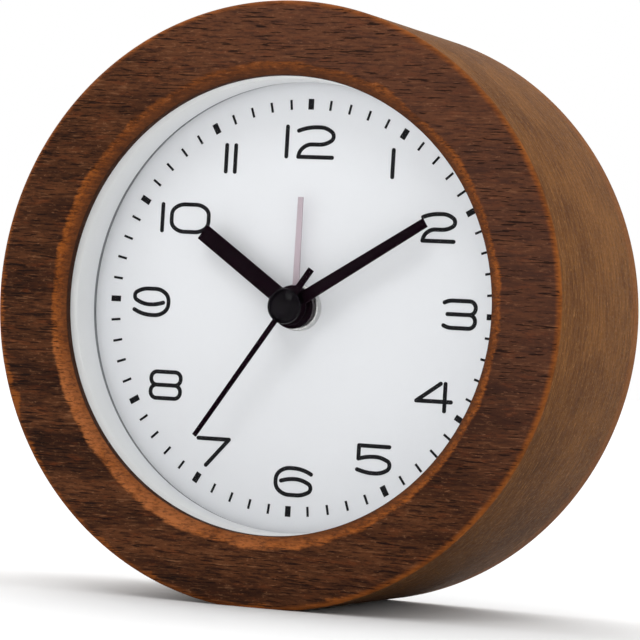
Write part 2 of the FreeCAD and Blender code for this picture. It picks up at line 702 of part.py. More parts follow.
def hour_wheel():
    """Hour tube and its wheel."""
    wheel = gear(HOUR_TEETH, MOTION_MODULE, HOUR_LAYER, HOUR_LAYER + WHEEL_THICKNESS, CENTRE, HOUR_TOOTH)
    shaft = disc(HOUR_RADIUS, tube_front(HOUR_HAND_LIFT), HOUR_LAYER + WHEEL_THICKNESS)
    bore = disc(HOUR_BORE, tube_front(HOUR_HAND_LIFT), MINUTE_LAYER)
    return fuse([shaft, wheel]).cut(bore)


def alarm_wheel():
    """Alarm tube and its wheel."""
    wheel = gear(ALARM_TEETH, MOTION_MODULE, ALARM_LAYER, ALARM_LAYER + WHEEL_THICKNESS, CENTRE, ALARM_TOOTH)
    shaft = disc(ALARM_RADIUS, tube_front(ALARM_HAND_LIFT), ALARM_LAYER + WHEEL_THICKNESS)
    bore = disc(ALARM_BORE, tube_front(ALARM_HAND_LIFT), HOUR_LAYER)
    return fuse([shaft, wheel]).cut(bore)


def minute_wheel():
    """Wheel and pinion that step the minute tube down to the hour tube."""
    wheel = gear(MINUTE_WHEEL_TEETH, MOTION_MODULE, MINUTE_LAYER, MINUTE_LAYER + WHEEL_THICKNESS,
                 MINUTE_WHEEL_AT, MINUTE_WHEEL_TOOTH)
    pinion = gear(MINUTE_PINION_TEETH, MOTION_MODULE, HOUR_LAYER - PINION_EXTRA, MINUTE_LAYER,
                  MINUTE_WHEEL_AT, MINUTE_PINION_TOOTH)
    bore = disc(POST_RADIUS + RUNNING_FIT, ALARM_LAYER, CENTRE_LAYER, MINUTE_WHEEL_AT)
    return fuse([pinion, wheel]).cut(bore)


def alarm_idler():
    """Idler between the alarm knob's pinion and the alarm wheel."""
    wheel = gear(IDLER_TEETH, MOTION_MODULE, ALARM_LAYER, ALARM_LAYER + WHEEL_THICKNESS,
                 IDLER_AT, IDLER_TOOTH)
    return wheel.cut(disc(POST_RADIUS + RUNNING_FIT, CHAMBER_Y, HOUR_LAYER, IDLER_AT))


def centre_wheel():
    """Centre wheel, a slipping clutch on the minute tube."""
    wheel = gear(CENTRE_TEETH, CENTRE_MODULE, CENTRE_LAYER, CENTRE_LAYER + WHEEL_THICKNESS,
                 CENTRE, CENTRE_TOOTH)
    return wheel.cut(disc(CANNON_RADIUS + RUNNING_FIT, MINUTE_LAYER, THIRD_LAYER))


def third_wheel():
    """Third wheel and pinion between the seconds pinion and the centre wheel."""
    wheel = gear(THIRD_TEETH, THIRD_MODULE, THIRD_LAYER, THIRD_LAYER + WHEEL_THICKNESS, THIRD_AT, THIRD_TOOTH)
    pinion = gear(THIRD_PINION_TEETH, CENTRE_MODULE, CENTRE_LAYER - PINION_EXTRA, THIRD_LAYER, THIRD_AT, 0.0)
    arbor = disc(ARBOR_RADIUS, CHAMBER_Y + END_PLAY, SECOND_LAYER + WHEEL_THICKNESS, THIRD_AT)
    return fuse([arbor, pinion, wheel])


def fifth_wheel():
    """Fifth wheel and pinion between the rotor and the seconds wheel."""
    wheel = gear(FIFTH_TEETH, ROTOR_MODULE, FIFTH_LAYER, FIFTH_LAYER + WHEEL_THICKNESS, FIFTH_AT, 0.0)
    pinion = gear(FIFTH_PINION_TEETH, FIFTH_MODULE, SECOND_LAYER - PINION_EXTRA, FIFTH_LAYER,
                  FIFTH_AT, FIFTH_PINION_TOOTH)
    arbor = disc(ARBOR_RADIUS, BRIDGE_Y, CHAMBER_REAR_Y - END_PLAY, FIFTH_AT)
    return fuse([arbor, pinion, wheel])


def rotor():
    """Round magnet with its pinion."""
    pinion = gear(ROTOR_PINION_TEETH, ROTOR_MODULE, FIFTH_LAYER - PINION_EXTRA, MAGNET_Y,
                  ROTOR_AT, ROTOR_TOOTH)
    magnet = disc(MAGNET_RADIUS, MAGNET_Y, MAGNET_Y + MAGNET_LENGTH, ROTOR_AT)
    arbor = disc(ARBOR_RADIUS, BRIDGE_Y, CHAMBER_REAR_Y - END_PLAY, ROTOR_AT)
    return fuse([arbor, pinion, magnet])


def shell_outline(front, rear, inset):
    """Round-cornered block of the movement's outline, drawn in by an inset."""
    side = SHELL_HALF_WIDTH - inset
    body = block(-side, side, front, rear, SHELL_BOTTOM + inset, SHELL_TOP - inset)
    upright = [edge for edge in body.Edges if abs(edge.tangentAt(edge.FirstParameter).y) > 0.9]
    return body.makeFillet(SHELL_ROUND - inset, upright)


def movement_front_plate():
    """Front plate with the threaded bush, the posts and the pivot bosses."""
    base = shell_outline(PLATE_Y, CHAMBER_Y, 0)
    bush = disc(BUSH_RADIUS, DIAL_Y - NUT_THICKNESS - END_PLAY, PLATE_Y)
    posts = [disc(POST_RADIUS, CHAMBER_Y, HOUR_LAYER - LAYER_GAP / 2, IDLER_AT)]
    posts.append(disc(POST_RADIUS, CHAMBER_Y, CENTRE_LAYER - LAYER_GAP / 2, MINUTE_WHEEL_AT))
    bosses = [disc(PIVOT_BOSS, CHAMBER_Y, CENTRE_LAYER - LAYER_GAP, THIRD_AT)]
    pillars = [disc(PILLAR_RADIUS, CHAMBER_Y, BRIDGE_Y, place) for place in PILLARS]
    corners = [disc(SCREW_POST_RADIUS, CHAMBER_Y, CHAMBER_REAR_Y, place) for place in movement_screw_places()]
    bores = [disc(BUSH_BORE, DIAL_Y - 2 * NUT_THICKNESS, CHAMBER_Y)]
    bores.append(disc(ARBOR_RADIUS + RUNNING_FIT, CHAMBER_Y, CENTRE_LAYER, THIRD_AT))
    for place in (SET_AT, ALARM_SET_AT):
        bores.append(disc(STEM_RADIUS + RUNNING_FIT, PLATE_Y + PLATE_THICKNESS / 2, CHAMBER_Y, place))
    screw = MOVEMENT_SCREW_RADIUS + PUSH_FIT
    depth = MOVEMENT_SCREW_LENGTH + END_PLAY
    for place in movement_screw_places():
        bores.append(disc(screw, SHELL_REAR_Y - depth, CHAMBER_REAR_Y, place))
    return cut_all(fuse([base, bush] + posts + bosses + pillars + corners), bores)


def movement_rear_shell():
    """Box that closes the movement, with pivot bosses and stem holes."""
    outer = shell_outline(CHAMBER_Y, SHELL_REAR_Y, 0)
    cavity = shell_outline(CHAMBER_Y, CHAMBER_REAR_Y, SHELL_WALL)
    shell = outer.cut(cavity)
    bosses = [disc(PIVOT_BOSS, SECOND_LAYER + WHEEL_THICKNESS + LAYER_GAP, CHAMBER_REAR_Y)]
    bosses.append(disc(PIVOT_BOSS, SECOND_LAYER, CHAMBER_REAR_Y, THIRD_AT))
    bosses.append(disc(PIVOT_BOSS, FIFTH_LAYER + WHEEL_THICKNESS + LAYER_GAP, CHAMBER_REAR_Y, FIFTH_AT))
    bosses.append(disc(PIVOT_BOSS, MAGNET_Y + MAGNET_LENGTH + LAYER_GAP, CHAMBER_REAR_Y, ROTOR_AT))
    pivot = ARBOR_RADIUS + RUNNING_FIT
    arbors = (CENTRE, THIRD_AT, FIFTH_AT, ROTOR_AT)
    bores = [disc(pivot, SECOND_LAYER, CHAMBER_REAR_Y, place) for place in arbors]
    for place in (SET_AT, ALARM_SET_AT):
        bores.append(disc(STEM_RADIUS + RUNNING_FIT, CHAMBER_REAR_Y, SHELL_REAR_Y, place))
    for place in movement_screw_places():
        bores.append(disc(MOVEMENT_SCREW_RADIUS + SEAT_GAP, CHAMBER_REAR_Y, SHELL_REAR_Y, place))
    return cut_all(fuse([shell] + bosses), bores)


def train_bridge():
    """Plate that carries the front pivots of the motor end of the train."""
    xs = [place[0] for place in PILLARS]
    zs = [place[1] for place in PILLARS]
    low, high = min(zs) - BRIDGE_MARGIN / 2, max(zs) + BRIDGE_MARGIN / 2
    rear = BRIDGE_Y + BRIDGE_THICKNESS
    body = block(min(xs) - BRIDGE_MARGIN, max(xs) + BRIDGE_MARGIN, BRIDGE_Y, rear, low, high)
    pivot = ARBOR_RADIUS + RUNNING_FIT
    holes = [disc(pivot, BRIDGE_Y, rear, place) for place in (CENTRE, THIRD_AT, FIFTH_AT, ROTOR_AT)]
    holes += [disc(STEM_RADIUS + DOOR_GAP, BRIDGE_Y, rear, place) for place in (SET_AT, ALARM_SET_AT)]
    return cut_all(body, holes)


def dial_washer():
    """Rubber washer between the dial and the movement."""
    bore = BUSH_RADIUS + SEAT_GAP
    return tube(bore + WASHER_WIDTH, bore, DIAL_REAR_Y, PLATE_Y)


def dial_nut():
    """Round nickel nut that clamps the movement to the dial."""
    front = DIAL_Y - NUT_THICKNESS
    body = disc(NUT_RADIUS, front, DIAL_Y)
    body = body.makeChamfer(NUT_CHAMFER, [ring_edge(body, front)])
    return body.cut(disc(BUSH_RADIUS + PUSH_FIT, front, DIAL_Y))


def stator_frame():
    """Left, right, bottom and coil height of the stator about the rotor."""
    left = ROTOR_AT[0] - CORE_LENGTH / 2
    bottom = ROTOR_AT[1] - MAGNET_RADIUS - AIR_GAP - STATOR_MARGIN / 2
    coil = ROTOR_AT[1] + MAGNET_RADIUS + AIR_GAP + STATOR_MARGIN / 2 + COIL_RADIUS + LAYER_GAP
    return left, left + CORE_LENGTH, bottom, coil


def stator():
    """Soft iron plate around the rotor, with arms up to the coil's core."""
    left, right, bottom, coil = stator_frame()
    rear = STATOR_Y + STATOR_THICKNESS
    body = block(left, right, STATOR_Y, rear, bottom, coil + CORE_WIDTH / 2)
    window_left = ROTOR_AT[0] - COIL_LENGTH / 2 - LAYER_GAP
    window = block(window_left, window_left + COIL_LENGTH + 2 * LAYER_GAP, STATOR_Y, rear,
                   coil - COIL_RADIUS - LAYER_GAP, coil + COIL_RADIUS)
    air = disc(MAGNET_RADIUS + AIR_GAP, STATOR_Y, rear, ROTOR_AT)
    return cut_all(body, [window, air])


STATOR_Y = MAGNET_Y + MAGNET_LENGTH / 2
CORE_THICKNESS = STATOR_THICKNESS


def coil_core():
    """Iron bar through the coil, lying on the stator's arms."""
    left, right, bottom, coil = stator_frame()
    front = STATOR_Y - CORE_THICKNESS
    return block(left, right, front, STATOR_Y, coil - CORE_WIDTH / 2, coil + CORE_WIDTH / 2)


def coil_axis_bar(radius, left, right):
    """Round bar along the coil's own axis."""
    coil = stator_frame()[3]
    base = Vector(left, STATOR_Y - CORE_THICKNESS / 2, coil)
    return Part.makeCylinder(radius, right - left, base, Vector(1, 0, 0))


def bobbin_radius():
    """Outside of the bobbin's barrel, which clears the core's corners."""
    return math.hypot(CORE_WIDTH / 2, CORE_THICKNESS / 2) + SEAT_GAP + BOBBIN_WALL


def coil_bobbin():
    """Plastic bobbin with two flanges."""
    left = ROTOR_AT[0] - COIL_LENGTH / 2
    right = left + COIL_LENGTH
    barrel = coil_axis_bar(bobbin_radius(), left, right)
    flanges = [coil_axis_bar(COIL_RADIUS, left, left + BOBBIN_WALL)]
    flanges.append(coil_axis_bar(COIL_RADIUS, right - BOBBIN_WALL, right))
    return fuse([barrel] + flanges).cut(coil_axis_bar(bobbin_radius() - BOBBIN_WALL, left, right))


def coil_winding():
    """Copper winding on the bobbin."""
    left = ROTOR_AT[0] - COIL_LENGTH / 2 + BOBBIN_WALL
    right = left + COIL_LENGTH - 2 * BOBBIN_WALL
    wound = coil_axis_bar(COIL_RADIUS - PUSH_FIT - BOBBIN_WALL / 2, left + PUSH_FIT, right - PUSH_FIT)
    return wound.cut(coil_axis_bar(bobbin_radius() + PUSH_FIT, left, right))


def board_frame():
    """Left, right, bottom and top of the circuit board."""
    right = SHELL_HALF_WIDTH - SCREW_INSET - SCREW_POST_RADIUS - LAYER_GAP
    bottom = ALARM_SET_AT[1] + STEM_RADIUS + BOARD_STEM_ROOM
    return right - BOARD_WIDTH, right, bottom, SHELL_TOP - SHELL_WALL - SEAT_GAP


def circuit_board():
    """Small circuit board on the rear wall of the movement."""
    left, right, bottom, top = board_frame()
    return block(left, right, CHAMBER_REAR_Y - BOARD_THICKNESS, CHAMBER_REAR_Y, bottom, top)


def quartz_crystal():
    """Round metal can of the quartz crystal, lying on the board."""
    left, right, bottom, top = board_frame()
    y = CHAMBER_REAR_Y - BOARD_THICKNESS - CRYSTAL_RADIUS - PUSH_FIT
    base = Vector(left + 2 * CRYSTAL_RADIUS, y, top - 2 * CRYSTAL_RADIUS)
    return Part.makeCylinder(CRYSTAL_RADIUS, CRYSTAL_LENGTH, base, Vector(1, 0, 0))


def control_chip():
    """Round black cover over the control chip."""
    left, right, bottom, top = board_frame()
    rear = CHAMBER_REAR_Y - BOARD_THICKNESS
    place = ((left + right) / 2, bottom + 2 * CHIP_RADIUS)
    body = disc(CHIP_RADIUS, rear - CHIP_HEIGHT, rear, place)
    return body.makeFillet(CHIP_HEIGHT / 2, [ring_edge(body, rear - CHIP_HEIGHT)])


def bay_block(front, rear, inset):
    """Block of the battery bay's outline, drawn in by an inset."""
    side = BAY_HALF_LENGTH + BAY_WALL - inset
    half = BAY_HALF_HEIGHT + BAY_WALL - inset
    return block(-side, side, front, rear, BATTERY_Z - half, BATTERY_Z + half)


def door_frame(gap):
    """Left, right, bottom and top of the door's rebate, drawn in by a gap."""
    side = BAY_HALF_LENGTH + DOOR_LEDGE - gap
    half = BAY_HALF_HEIGHT + DOOR_LEDGE - gap
    return -side, side, BATTERY_Z - half, BATTERY_Z + half


def hinge_point():
    """Depth and height of the battery door's hinge line."""
    return COVER_REAR_Y - DOOR_THICKNESS / 2, door_frame(DOOR_GAP)[2] + DOOR_THICKNESS / 2


def hinge_bar(radius, left, right):
    """Round bar along the door's hinge line."""
    y, z = hinge_point()
    return Part.makeCylinder(radius, right - left, Vector(left, y, z), Vector(1, 0, 0))


def back_cover():
    """Black back cover: a cup that clamps the dial, a flange, and the battery bay."""
    flange = disc(FLANGE_RADIUS, COVER_FRONT_Y, COVER_REAR_Y)
    wall = tube(RING_RADIUS, CUP_BORE, DIAL_REAR_Y, COVER_FRONT_Y)
    bay = bay_block(BAY_FRONT_Y, COVER_FRONT_Y, 0).common(disc(RING_RADIUS, BAY_FRONT_Y, COVER_FRONT_Y))
    body = fuse([flange, wall, bay])
    left, right, bottom, top = door_frame(0)
    tools = [bay_block(BAY_FRONT_Y + BAY_WALL, COVER_REAR_Y, BAY_WALL)]
    floor = COVER_REAR_Y - DOOR_THICKNESS - RUNNING_FIT
    tools.append(block(left, right, floor, COVER_REAR_Y, bottom, top))
    pin_reach = HINGE_PIN_LENGTH + DOOR_GAP
    tools.append(hinge_bar(HINGE_PIN_RADIUS + RUNNING_FIT, left - pin_reach, right + pin_reach))
    for place in (SET_AT, ALARM_SET_AT):
        tools.append(disc(STEM_RADIUS + DOOR_GAP, COVER_FRONT_Y, COVER_REAR_Y, place))
    for place in cover_screw_places():
        tools.append(disc(COVER_SCREW_RADIUS + SEAT_GAP, COVER_FRONT_Y, COVER_REAR_Y, place))
    slot_half = (SWITCH_NECK[0] + SWITCH_TRAVEL) / 2 + SEAT_GAP
    slot_tall = SWITCH_NECK[1] / 2 + SEAT_GAP
    tools.append(block(-slot_half, slot_half, COVER_FRONT_Y, COVER_REAR_Y,
                       SWITCH_LIFT - slot_tall, SWITCH_LIFT + slot_tall))
    for place in sound_hole_places():
        tools.append(disc(SOUND_HOLE_RADIUS, COVER_FRONT_Y, COVER_REAR_Y, place))
    return cut_all(body, tools)


def sound_hole_places():
    """Centres of the sound holes over the buzzer: one in the middle and six about it."""
    middle = (0.0, BUZZER_LIFT)
    return [middle] + [between(middle, SOUND_HOLE_RING, 60 * index) for index in range(6)]


def buzzer():
    """Round sounder on the inside of the back cover."""
    front = COVER_FRONT_Y - BUZZER_HEIGHT
    body = disc(BUZZER_RADIUS, front, COVER_FRONT_Y, (0.0, BUZZER_LIFT))
    mouth = disc(SOUND_HOLE_RING + SOUND_HOLE_RADIUS, COVER_FRONT_Y - BUZZER_HEIGHT / 4, COVER_FRONT_Y,
                 (0.0, BUZZER_LIFT))
    return body.cut(mouth)


def battery_right():
    """Right end of the battery's body, with its nub against the plus contact."""
    return BAY_HALF_LENGTH - CONTACT_THICKNESS - BATTERY_NUB[1]


def battery_bar(radius, left, right):
    """Round bar along the battery's axis."""
    return Part.makeCylinder(radius, right - left, Vector(left, BATTERY_Y, BATTERY_Z), Vector(1, 0, 0))


def battery():
    """Round cell with its nub."""
    right = battery_right()
    body = battery_bar(BATTERY_RADIUS, right - BATTERY_LENGTH, right)
    rims = [edge for edge in body.Edges if edge.isClosed()]
    body = body.makeFillet(EDGE_ROUND / 2, rims)
    nub = battery_bar(BATTERY_NUB[0], right - EDGE_ROUND, right + BATTERY_NUB[1])
    return fuse([body, nub])


def battery_contact_plus():
    """Flat plate at the plus end."""
    half = BAY_HALF_HEIGHT / 2
    right = BAY_HALF_LENGTH
    return block(right - CONTACT_THICKNESS, right, BATTERY_Y - half, BATTERY_Y + half,
                 BATTERY_Z - half, BATTERY_Z + half)


def battery_contact_minus():
    """Bowed leaf spring at the minus end."""
    left = -BAY_HALF_LENGTH
    tip = battery_right() - BATTERY_LENGTH
    half = BAY_HALF_HEIGHT / 2
    thin = CONTACT_THICKNESS
    foot = block(left, left + thin, BATTERY_Y - half, BATTERY_Y + half, BATTERY_Z - half, BATTERY_Z + half)
    near, far = BATTERY_Z - half, BATTERY_Z + half
    outer = [Vector(left + thin, 0, near), Vector(tip, 0, BATTERY_Z), Vector(left + thin, 0, far)]
    inner = [
        Vector(left + thin, 0, far - thin),
        Vector(tip - thin, 0, BATTERY_Z),
        Vector(left + thin, 0, near + thin),
    ]
    edges = [
        Part.Arc(*outer).toShape(),
        Part.makeLine(outer[2], inner[0]),
        Part.Arc(*inner).toShape(),
        Part.makeLine(inner[2], outer[0]),
    ]
    bow = Part.Face(Part.Wire(edges)).extrude(Vector(0, half, 0))
    bow.translate(Vector(0, BATTERY_Y - half / 2, 0))
    return fuse([foot, bow])


def battery_door():
    """Door with a rounded lower edge, hinge pins and grip ribs."""
    left, right, bottom, top = door_frame(DOOR_GAP)
    y, z = hinge_point()
    panel = block(left, right, COVER_REAR_Y - DOOR_THICKNESS, COVER_REAR_Y, z, top)
    roll = hinge_bar(DOOR_THICKNESS / 2, left, right)
    pins = hinge_bar(HINGE_PIN_RADIUS, left - HINGE_PIN_LENGTH, right + HINGE_PIN_LENGTH)
    ribs = []
    for index in range(GRIP_RIBS):
        high = top - DOOR_LEDGE - 2 * index * GRIP_RIB
        ribs.append(block(-BATTERY_RADIUS, BATTERY_RADIUS, COVER_REAR_Y - GRIP_RIB, COVER_REAR_Y + GRIP_RIB,
                          high - GRIP_RIB, high))
    return fuse([panel, roll, pins] + ribs)


def set_stem(place, teeth, layer, first_tooth):
    """Stem that runs from the front plate out through the back, with its pinion."""
    front = PLATE_Y + PLATE_THICKNESS / 2 + END_PLAY
    rear = COVER_REAR_Y + DOOR_GAP + KNOB_HEIGHT / 2
    shaft = disc(STEM_RADIUS, front, rear, place)
    pinion = gear(teeth, MOTION_MODULE, layer - PINION_EXTRA, layer + WHEEL_THICKNESS + PINION_EXTRA,
                  place, first_tooth)
    return fuse([shaft, pinion])


def time_set_stem():
    """Time-setting stem, in mesh with the minute wheel."""
    return set_stem(SET_AT, SET_PINION_TEETH, MINUTE_LAYER, SET_TOOTH)


def alarm_set_stem():
    """Alarm-setting stem, in mesh with the idler."""
    return set_stem(ALARM_SET_AT, ALARM_PINION_TEETH, ALARM_LAYER, ALARM_PINION_TOOTH)


def knob(place):
    """Fluted knob pushed onto a stem."""
    front = COVER_REAR_Y + DOOR_GAP
    rear = front + KNOB_HEIGHT
    body = disc(KNOB_RADIUS, front, rear, place)
    body = body.makeChamfer(FLUTE_RADIUS, [ring_edge(body, rear)])
    tools = [disc(STEM_RADIUS + PUSH_FIT, front, front + KNOB_HEIGHT / 2 + PUSH_FIT, place)]
    for index in range(KNOB_FLUTES):
        groove = between(place, KNOB_RADIUS + FLUTE_RADIUS / 2, 360 * index / KNOB_FLUTES)
        tools.append(disc(FLUTE_RADIUS, front, rear, groove))
    return cut_all(body, tools)


def time_set_knob():
    """Knob that sets the hands."""
    return knob(SET_AT)


def alarm_set_knob():
    """Knob that sets the alarm hand."""
    return knob(ALARM_SET_AT)


def switch_slab(long, tall, front, rear):
    """Slab of the alarm switch, at its off place."""
    middle = -SWITCH_TRAVEL / 2
    low = SWITCH_LIFT - tall / 2
    return block(middle - long / 2, middle + long / 2, front, rear, low, low + tall)


def alarm_switch():
    """Sliding alarm switch, at its off end, with a keeper behind the cover."""
    long, tall, high = SWITCH_BUTTON
    keeper_rear = COVER_FRONT_Y - SEAT_GAP
    button_front = COVER_REAR_Y + SEAT_GAP
    button_rear = button_front + high
    parts = [switch_slab(long, tall, button_front, button_rear)]
    parts.append(switch_slab(SWITCH_NECK[0], SWITCH_NECK[1], keeper_rear, button_front))
    parts.append(switch_slab(SWITCH_KEEPER[0], SWITCH_KEEPER[1], keeper_rear - SWITCH_KEEPER[2], keeper_rear))
    left = -SWITCH_TRAVEL / 2 - long / 2
    low = SWITCH_LIFT - tall / 2
    pitch = long / SWITCH_RIBS
    for index in range(SWITCH_RIBS):
        place = left + pitch * index + (pitch - SWITCH_RIB) / 2
        parts.append(block(place, place + SWITCH_RIB, button_rear, button_rear + SWITCH_RIB, low, low + tall))
    return fuse(parts)


def screw(place, under_head, size, head, length):
    """Pan-headed screw along the depth, with a crossed slot."""
    head_radius, head_height = head
    cap = disc(head_radius, under_head, under_head + head_height, place)
    cap = cap.makeFillet(head_height / 3, [ring_edge(cap, under_head + head_height)])
    shank = disc(size, under_head - length, under_head, place)
    top = under_head + head_height
    cross = []
    for wide, tall in ((head_radius, SLOT_WIDTH), (SLOT_WIDTH, head_radius)):
        cross.append(block(place[0] - wide / 2, place[0] + wide / 2, top - SLOT_DEPTH, top,
                           place[1] - tall / 2, place[1] + tall / 2))
    return cut_all(fuse([cap, shank]), cross)


def cover_screws():
    """Four screws from the back cover into the wood."""
    return Part.makeCompound([
        screw(place, COVER_REAR_Y, COVER_SCREW_RADIUS, COVER_SCREW_HEAD, COVER_SCREW_LENGTH)
        for place in cover_screw_places()
    ])


def movement_screws():
    """Four screws that close the movement."""
    return Part.makeCompound([
        screw(place, SHELL_REAR_Y, MOVEMENT_SCREW_RADIUS, MOVEMENT_SCREW_HEAD, MOVEMENT_SCREW_LENGTH)
        for place in movement_screw_places()
    ])


PIECES = (
    wood_case, lens, dial_ring, dial_plate, minute_track, dial_numerals,
    hour_hand, minute_hand, alarm_hand, second_hand, second_hand_cap,
    seconds_wheel, minute_cannon, hour_wheel, alarm_wheel, minute_wheel, alarm_idler,
    centre_wheel, third_wheel, fifth_wheel, rotor,
    movement_front_plate, movement_rear_shell, train_bridge, dial_washer, dial_nut,
    stator, coil_core, coil_bobbin, coil_winding, circuit_board, quartz_crystal, control_chip,
    back_cover, buzzer, battery, battery_contact_plus, battery_contact_minus, battery_door,
    time_set_stem, alarm_set_stem, time_set_knob, alarm_set_knob, alarm_switch,
    cover_screws, movement_screws,
)

for piece in PIECES:
    shape = piece()
    shape.translate(Vector(0, 0, AXIS_HEIGHT))
    shape.exportStep("parts/" + piece.__name__ + ".step")
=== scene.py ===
import logging
import math
from dataclasses import dataclass
from enum import Enum
from typing import Iterable, Sequence

import bmesh
import bpy
from mathutils import Matrix, Vector


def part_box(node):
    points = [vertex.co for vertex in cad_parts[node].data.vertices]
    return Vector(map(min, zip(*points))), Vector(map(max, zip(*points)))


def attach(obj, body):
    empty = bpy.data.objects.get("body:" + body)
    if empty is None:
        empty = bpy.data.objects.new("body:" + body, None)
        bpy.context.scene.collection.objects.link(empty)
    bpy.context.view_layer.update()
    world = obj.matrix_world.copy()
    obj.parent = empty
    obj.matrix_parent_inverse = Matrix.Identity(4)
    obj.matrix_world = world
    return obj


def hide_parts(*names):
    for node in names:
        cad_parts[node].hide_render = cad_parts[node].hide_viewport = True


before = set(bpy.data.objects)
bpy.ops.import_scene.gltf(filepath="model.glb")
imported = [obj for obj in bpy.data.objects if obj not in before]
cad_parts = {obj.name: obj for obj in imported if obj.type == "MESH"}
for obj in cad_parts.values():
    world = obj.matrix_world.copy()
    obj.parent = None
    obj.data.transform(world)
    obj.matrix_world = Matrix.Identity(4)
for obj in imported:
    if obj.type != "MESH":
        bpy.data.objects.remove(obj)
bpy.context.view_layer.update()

MM = 0.001
MERGE_MM = 1e-4
ON_RING_MM = 1e-3
DEGREES_PER_HOUR = 30
DEGREES_PER_MINUTE = 6
LOG = logging.getLogger("clock")
Socket = bpy.types.NodeSocket
Colour = tuple[float, float, float]
Point2 = tuple[float, float]
Point3 = tuple[float, float, float]


class Body(str, Enum):
    """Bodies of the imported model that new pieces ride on."""

    CLOCK = "clock_body"
    SECONDS = "seconds"
    MINUTES = "minutes"
    HOURS = "hours"
    ALARM = "alarm"


def tone(red: int, green: int, blue: int) -> Colour:
    """Linear colour of an 8-bit screen colour."""
    return tuple(((value / 255 + 0.055) / 1.055) ** 2.4 if value > 10 else value / 3294.6
                 for value in (red, green, blue))


@dataclass(frozen=True)
class Ramp:
    """Values between which a pattern fades in, and how much of it shows at the end."""

    low: float
    high: float
    share: float = 1.0


@dataclass(frozen=True)
class Grain:
    """Noise with a scale for each millimetre of x, y and z, turned in degrees about the depth."""

    scale: Point3
    turn: float = 0.0
    detail: float = 4.0
    roughness: float = 0.55


